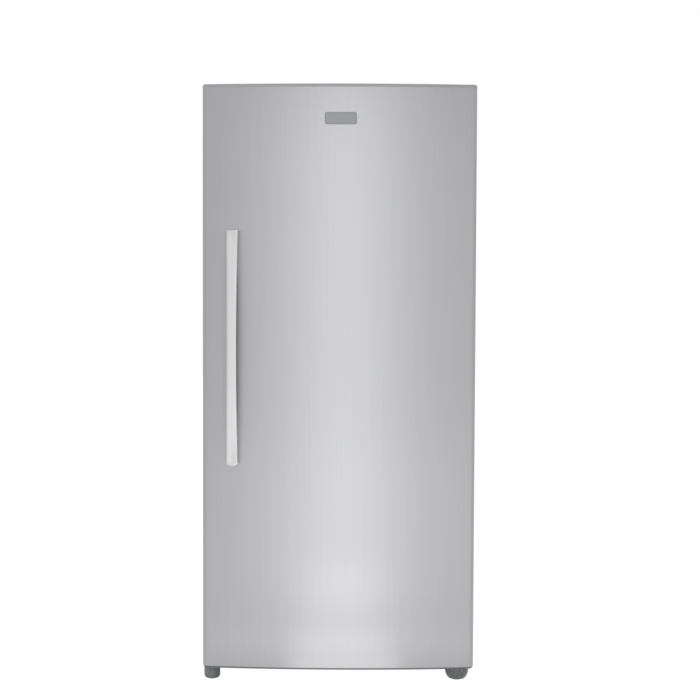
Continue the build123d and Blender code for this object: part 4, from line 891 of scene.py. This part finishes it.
done(hinge_cap, moulded_grey, "grey_plastic", "cabinet", "hinge_cover")
cap_middle = (cap_low.x + cap_high.x) / 2
screw_aside = 0.008
screw_back = 0.026
cap_screw = (cap_middle - screw_aside, cap_high.y - screw_back, cap_high.z - pan_head[-1][1])
fixings("hinge_cover_screw", pan_head, screw_sides, (0, 0, 0), [cap_screw], "cabinet")

# Two bolts hold the lower hinge's plate to the case.
plate_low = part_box("lower_hinge_bracket")[0]
plate_thick = 0.003
plate_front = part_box("side_panel_right")[0].y - plate_thick
bolt_rise = 0.012
bolt_steps = (0.01, 0.03)
fixings(
    "lower_hinge_bolts", hex_head, 6, to_front,
    [(plate_low.x + step, plate_front, plate_low.z + bolt_rise) for step in bolt_steps],
    "cabinet", crossed=False,
)

# Rear

# The machine cover: its slots, screw holes and the inlet's opening are cut from one sheet.
cover_low, cover_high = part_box("machine_cover")
inlet_low, inlet_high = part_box("power_inlet")
slot_pitch = 0.05
slot_columns = 14
slot_middle = 0.14
slot_rise = 0.038
slot_half = Vector((0.0035, 0.005, 0.032))
slot_round = 0.0034
screw_pitch = 0.2
screw_heights = (0.058, 0.2235)
dish_radius = 0.008
dish_depth = 0.0024
dish_floor = 0.001
dish_hole = 0.0050
hole_radius = dish_radius + 0.0001
hole_half = 0.005
around_inlet = Vector((0.0001, 0.01, 0.0001))
first_slot = Vector((-slot_pitch * (slot_columns - 1) / 2, cover_high.y, slot_middle - slot_rise))
rear_cover = block("slotted_rear_cover", cover_low, cover_high)
close_up()
slots = block("slots", first_slot - slot_half, first_slot + slot_half)
round_along("y", slot_round, 4)
close_up()
rows = [(column, row) for row in (0, 1) for column in range(slot_columns)]
copies(slots, [(column * slot_pitch, 0, row * 2 * slot_rise) for column, row in rows[1:]])
screw_places = [
    Vector((step * screw_pitch, cover_high.y, height))
    for step in range(-2, 3) for height in screw_heights
]
screw_offsets = [place - screw_places[0] for place in screw_places[1:]]
holes = turned(
    "holes", [(hole_radius, -hole_half), (hole_radius, hole_half)],
    screw_places[0], lean=to_rear, sides=screw_sides,
)
copies(holes, screw_offsets)
opening = cutting_block("opening", inlet_low - around_inlet, inlet_high + around_inlet)
for cutter in (slots, holes, opening):
    cut_with(rear_cover, cutter)
done(rear_cover, galvanised_steel, "zinc_steel", "cabinet", "machine_cover")

# A pressed dish in each hole, deep enough for its screw's head.
dish = turned(
    "screw_dishes",
    [
        (dish_hole, -dish_depth - dish_floor), (0.0060, -dish_depth - dish_floor),
        (dish_radius, -0.0008), (dish_radius, 0.0), (dish_radius - 0.0008, 0.0),
        (0.0056, -dish_depth), (dish_hole, -dish_depth),
    ],
    screw_places[0], lean=to_rear, sides=screw_sides,
)
copies(dish, screw_offsets)
done(dish, galvanised_steel, "zinc_steel", "cabinet")
fixings(
    "rear_cover_screws", pan_head, screw_sides, to_rear,
    [place - Vector((0, dish_depth, 0)) for place in screw_places], "cabinet",
)

# Feet and wheels

# The left foot is a straight cup with a rounded sole, the right one a bowl; both end in the
# same collar and stem.
cup_radius = 0.025
bowl_sole = 0.015
bowl_radius = 0.0365
bowl_height = 0.033
bowl_steps = 8
wall_top = 0.0385
shoulder = 0.0405
foot_top = 0.041
collar_radius = 0.006
stem_radius = 0.0052
stem_top = 0.069
stem = [
    (collar_radius + 0.0015, foot_top), (collar_radius, 0.0425), (collar_radius, 0.0450),
    (stem_radius, 0.0455), (stem_radius, stem_top),
]
left_profile = [
    (0.006, 0.0), (0.0165, 0.0), (0.0187, 0.0007), (0.0215, 0.0026), (0.0237, 0.0056),
    (0.0247, 0.0092), (cup_radius, 0.0130), (cup_radius, wall_top),
    (cup_radius - 0.0008, shoulder), (cup_radius - 0.003, foot_top), *stem,
]
bowl_rises = [step / bowl_steps for step in range(1, bowl_steps + 1)]
bowl_growth = bowl_radius - bowl_sole
bowl = [
    (bowl_sole + bowl_growth * sqrt(1 - (1 - rise) ** 2), bowl_height * rise) for rise in bowl_rises
]
right_profile = [
    (0.010, 0.0), (0.0145, 0.0), *bowl, (bowl_radius, wall_top), (bowl_radius - 0.0008, shoulder),
    (bowl_radius - 0.0025, foot_top), *stem,
]
for name, profile, body in (
    ("leveling_foot_left", left_profile, "left_foot"),
    ("leveling_foot_right", right_profile, "right_foot"),
):
    low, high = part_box(name)
    foot = turned(name + "_moulded", profile, ((low.x + high.x) / 2, (low.y + high.y) / 2, 0))
    done(foot, filled_nylon, "foot_plastic", body, name)

# A rear wheel: hub, sunk web, rim and tread, the same on both faces.
wheel_half = [
    (0.0062, 0.0), (0.0066, 0.0004), (0.0070, 0.0045), (0.0145, 0.0045), (0.0152, 0.0004),
    (0.0156, 0.0), (0.0186, 0.0), (0.0196, 0.0005), (0.02, 0.0016),
]
wheel_width = 0.018
wheel = wheel_half + [(radius, wheel_width - height) for radius, height in reversed(wheel_half)]
for name, body in (("rear_roller_left", "left_roller"), ("rear_roller_right", "right_roller")):
    low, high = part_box(name)
    middle = (low + high) / 2
    roller = turned(name + "_moulded", wheel, (low.x, middle.y, middle.z), lean=(0, pi / 2, 0))
    done(roller, filled_nylon, "foot_plastic", body, name)

# Floor, light and camera


def seen_directly(tree):
    """A value that is 1 where the camera, a mirror or clear plastic shows this, 0 where it lights."""
    rays = add_node(tree, "LightPath", {}).outputs
    seen = rays["Is Camera Ray"]
    for kind in ("Is Glossy Ray", "Is Transmission Ray"):
        seen = add_node(tree, "Math", {"operation": "MAXIMUM", 0: seen, 1: rays[kind]}).outputs[0]
    return seen


floor_size = 30
floor_grey = 0.93
floor_glow = 1.2
glow_share = 0.8
bpy.ops.mesh.primitive_plane_add(size=floor_size, location=(0, 0, 0))
floor = bpy.context.object
floor.name = "floor"
# Pale matt floor that glows only where it is seen, so that it fades into the white behind it.
pale = bpy.data.materials.new("pale_studio_floor")
pale.use_nodes = True
tree = pale.node_tree
shader = tree.nodes["Principled BSDF"]
shader.inputs["Base Color"].default_value = (floor_grey, floor_grey, floor_grey, 1)
shader.inputs["Roughness"].default_value = 0.9
floor.data.materials.append(pale)
share = add_node(tree, "Math", {"operation": "MULTIPLY", 0: seen_directly(tree), 1: glow_share})
white = add_node(tree, "Emission", {"Color": (1, 1, 1, 1), "Strength": floor_glow})
mixed = add_node(
    tree, "MixShader", {0: share.outputs[0], 1: shader.outputs[0], 2: white.outputs[0]}
)
tree.links.new(mixed.outputs[0], tree.nodes["Material Output"].inputs["Surface"])

# The world is white where it is seen, and lights with less than that.
world_light = 0.62
world = bpy.data.worlds.new("white_studio")
bpy.context.scene.world = world
world.use_nodes = True
tree = world.node_tree
level = add_node(tree, "MapRange", {"Value": seen_directly(tree), "To Min": world_light, "To Max": 1.0})
tree.links.new(level.outputs["Result"], tree.nodes["Background"].inputs["Strength"])
tree.nodes["Background"].inputs["Color"].default_value = (1, 1, 1, 1)


def lamp(name, place, aim, size, power):
    """A soft box that shines at a point and isn't itself seen."""
    bpy.ops.object.light_add(type="AREA", location=place)
    light = bpy.context.object
    light.name = name
    light.data.shape = "RECTANGLE"
    light.data.size, light.data.size_y = size
    light.data.energy = power
    light.visible_camera = False
    light.rotation_euler = (Vector(aim) - Vector(place)).to_track_quat("-Z", "Y").to_euler()
    return light


# One tall strip gives the door its bright band; wider ones fade it out, and low ones carry it
# down to the sill, where the door mirrors what stands close to it.
lamp("front_strip", (0.04, -1.7, 0.98), (0.04, 0, 0.98), (0.3, 2.15), 2.5)
lamp("front_wide", (0.0, -1.74, 0.98), (0.0, 0, 0.98), (1.0, 2.15), 3.0)
lamp("front_top", (0.04, -1.66, 2.35), (0.04, 0, 2.1), (0.36, 0.5), 0.5)
lamp("right_strip", (0.95, -1.6, 0.9), (0.95, 0, 0.9), (0.7, 1.9), 0.57)
lamp("knee_wide", (0.0, -1.4, 0.35), (0.0, 0, 0.35), (2.4, 0.5), 0.5)
lamp("shin_wide", (0.0, -0.98, 0.13), (0.0, 0, 0.13), (1.4, 0.22), 0.14)
lamp("shin_middle", (0.02, -0.95, 0.13), (0.02, 0, 0.13), (0.36, 0.22), 0.18)
lamp("foot_wide", (0.0, -0.65, 0.05), (0.0, 0, 0.05), (1.1, 0.09), 0.09)
lamp("foot_middle", (0.02, -0.62, 0.05), (0.02, 0, 0.05), (0.36, 0.09), 0.064)
lamp("sill_middle", (0.02, -0.45, 0.03), (0.02, 0, 0.03), (0.36, 0.05), 0.028)
lamp("high_left", (-2.6, -2.4, 3.2), (0, 0, 1.0), (1.6, 1.6), 30).visible_glossy = False

# The camera stands almost straight in front, a little above the middle, and looks slightly down.
camera_place = (-0.00734, -4.516, 1.20628)
yaw = radians(0.416)
tilt = radians(90 - 2.446)
roll = radians(0.1785)
bpy.ops.object.camera_add()
camera = bpy.context.object
camera.matrix_world = (
    Matrix.Translation(camera_place)
    @ Matrix.Rotation(yaw, 4, "Z") @ Matrix.Rotation(tilt, 4, "X") @ Matrix.Rotation(roll, 4, "Z")
)
camera.data.sensor_width = 36
camera.data.lens = 71.62
camera.data.shift_x = 0.0336
camera.data.shift_y = 0.0019
camera.data.clip_end = 60
bpy.context.scene.camera = camera
bpy.context.scene.view_settings.view_transform = "Standard"
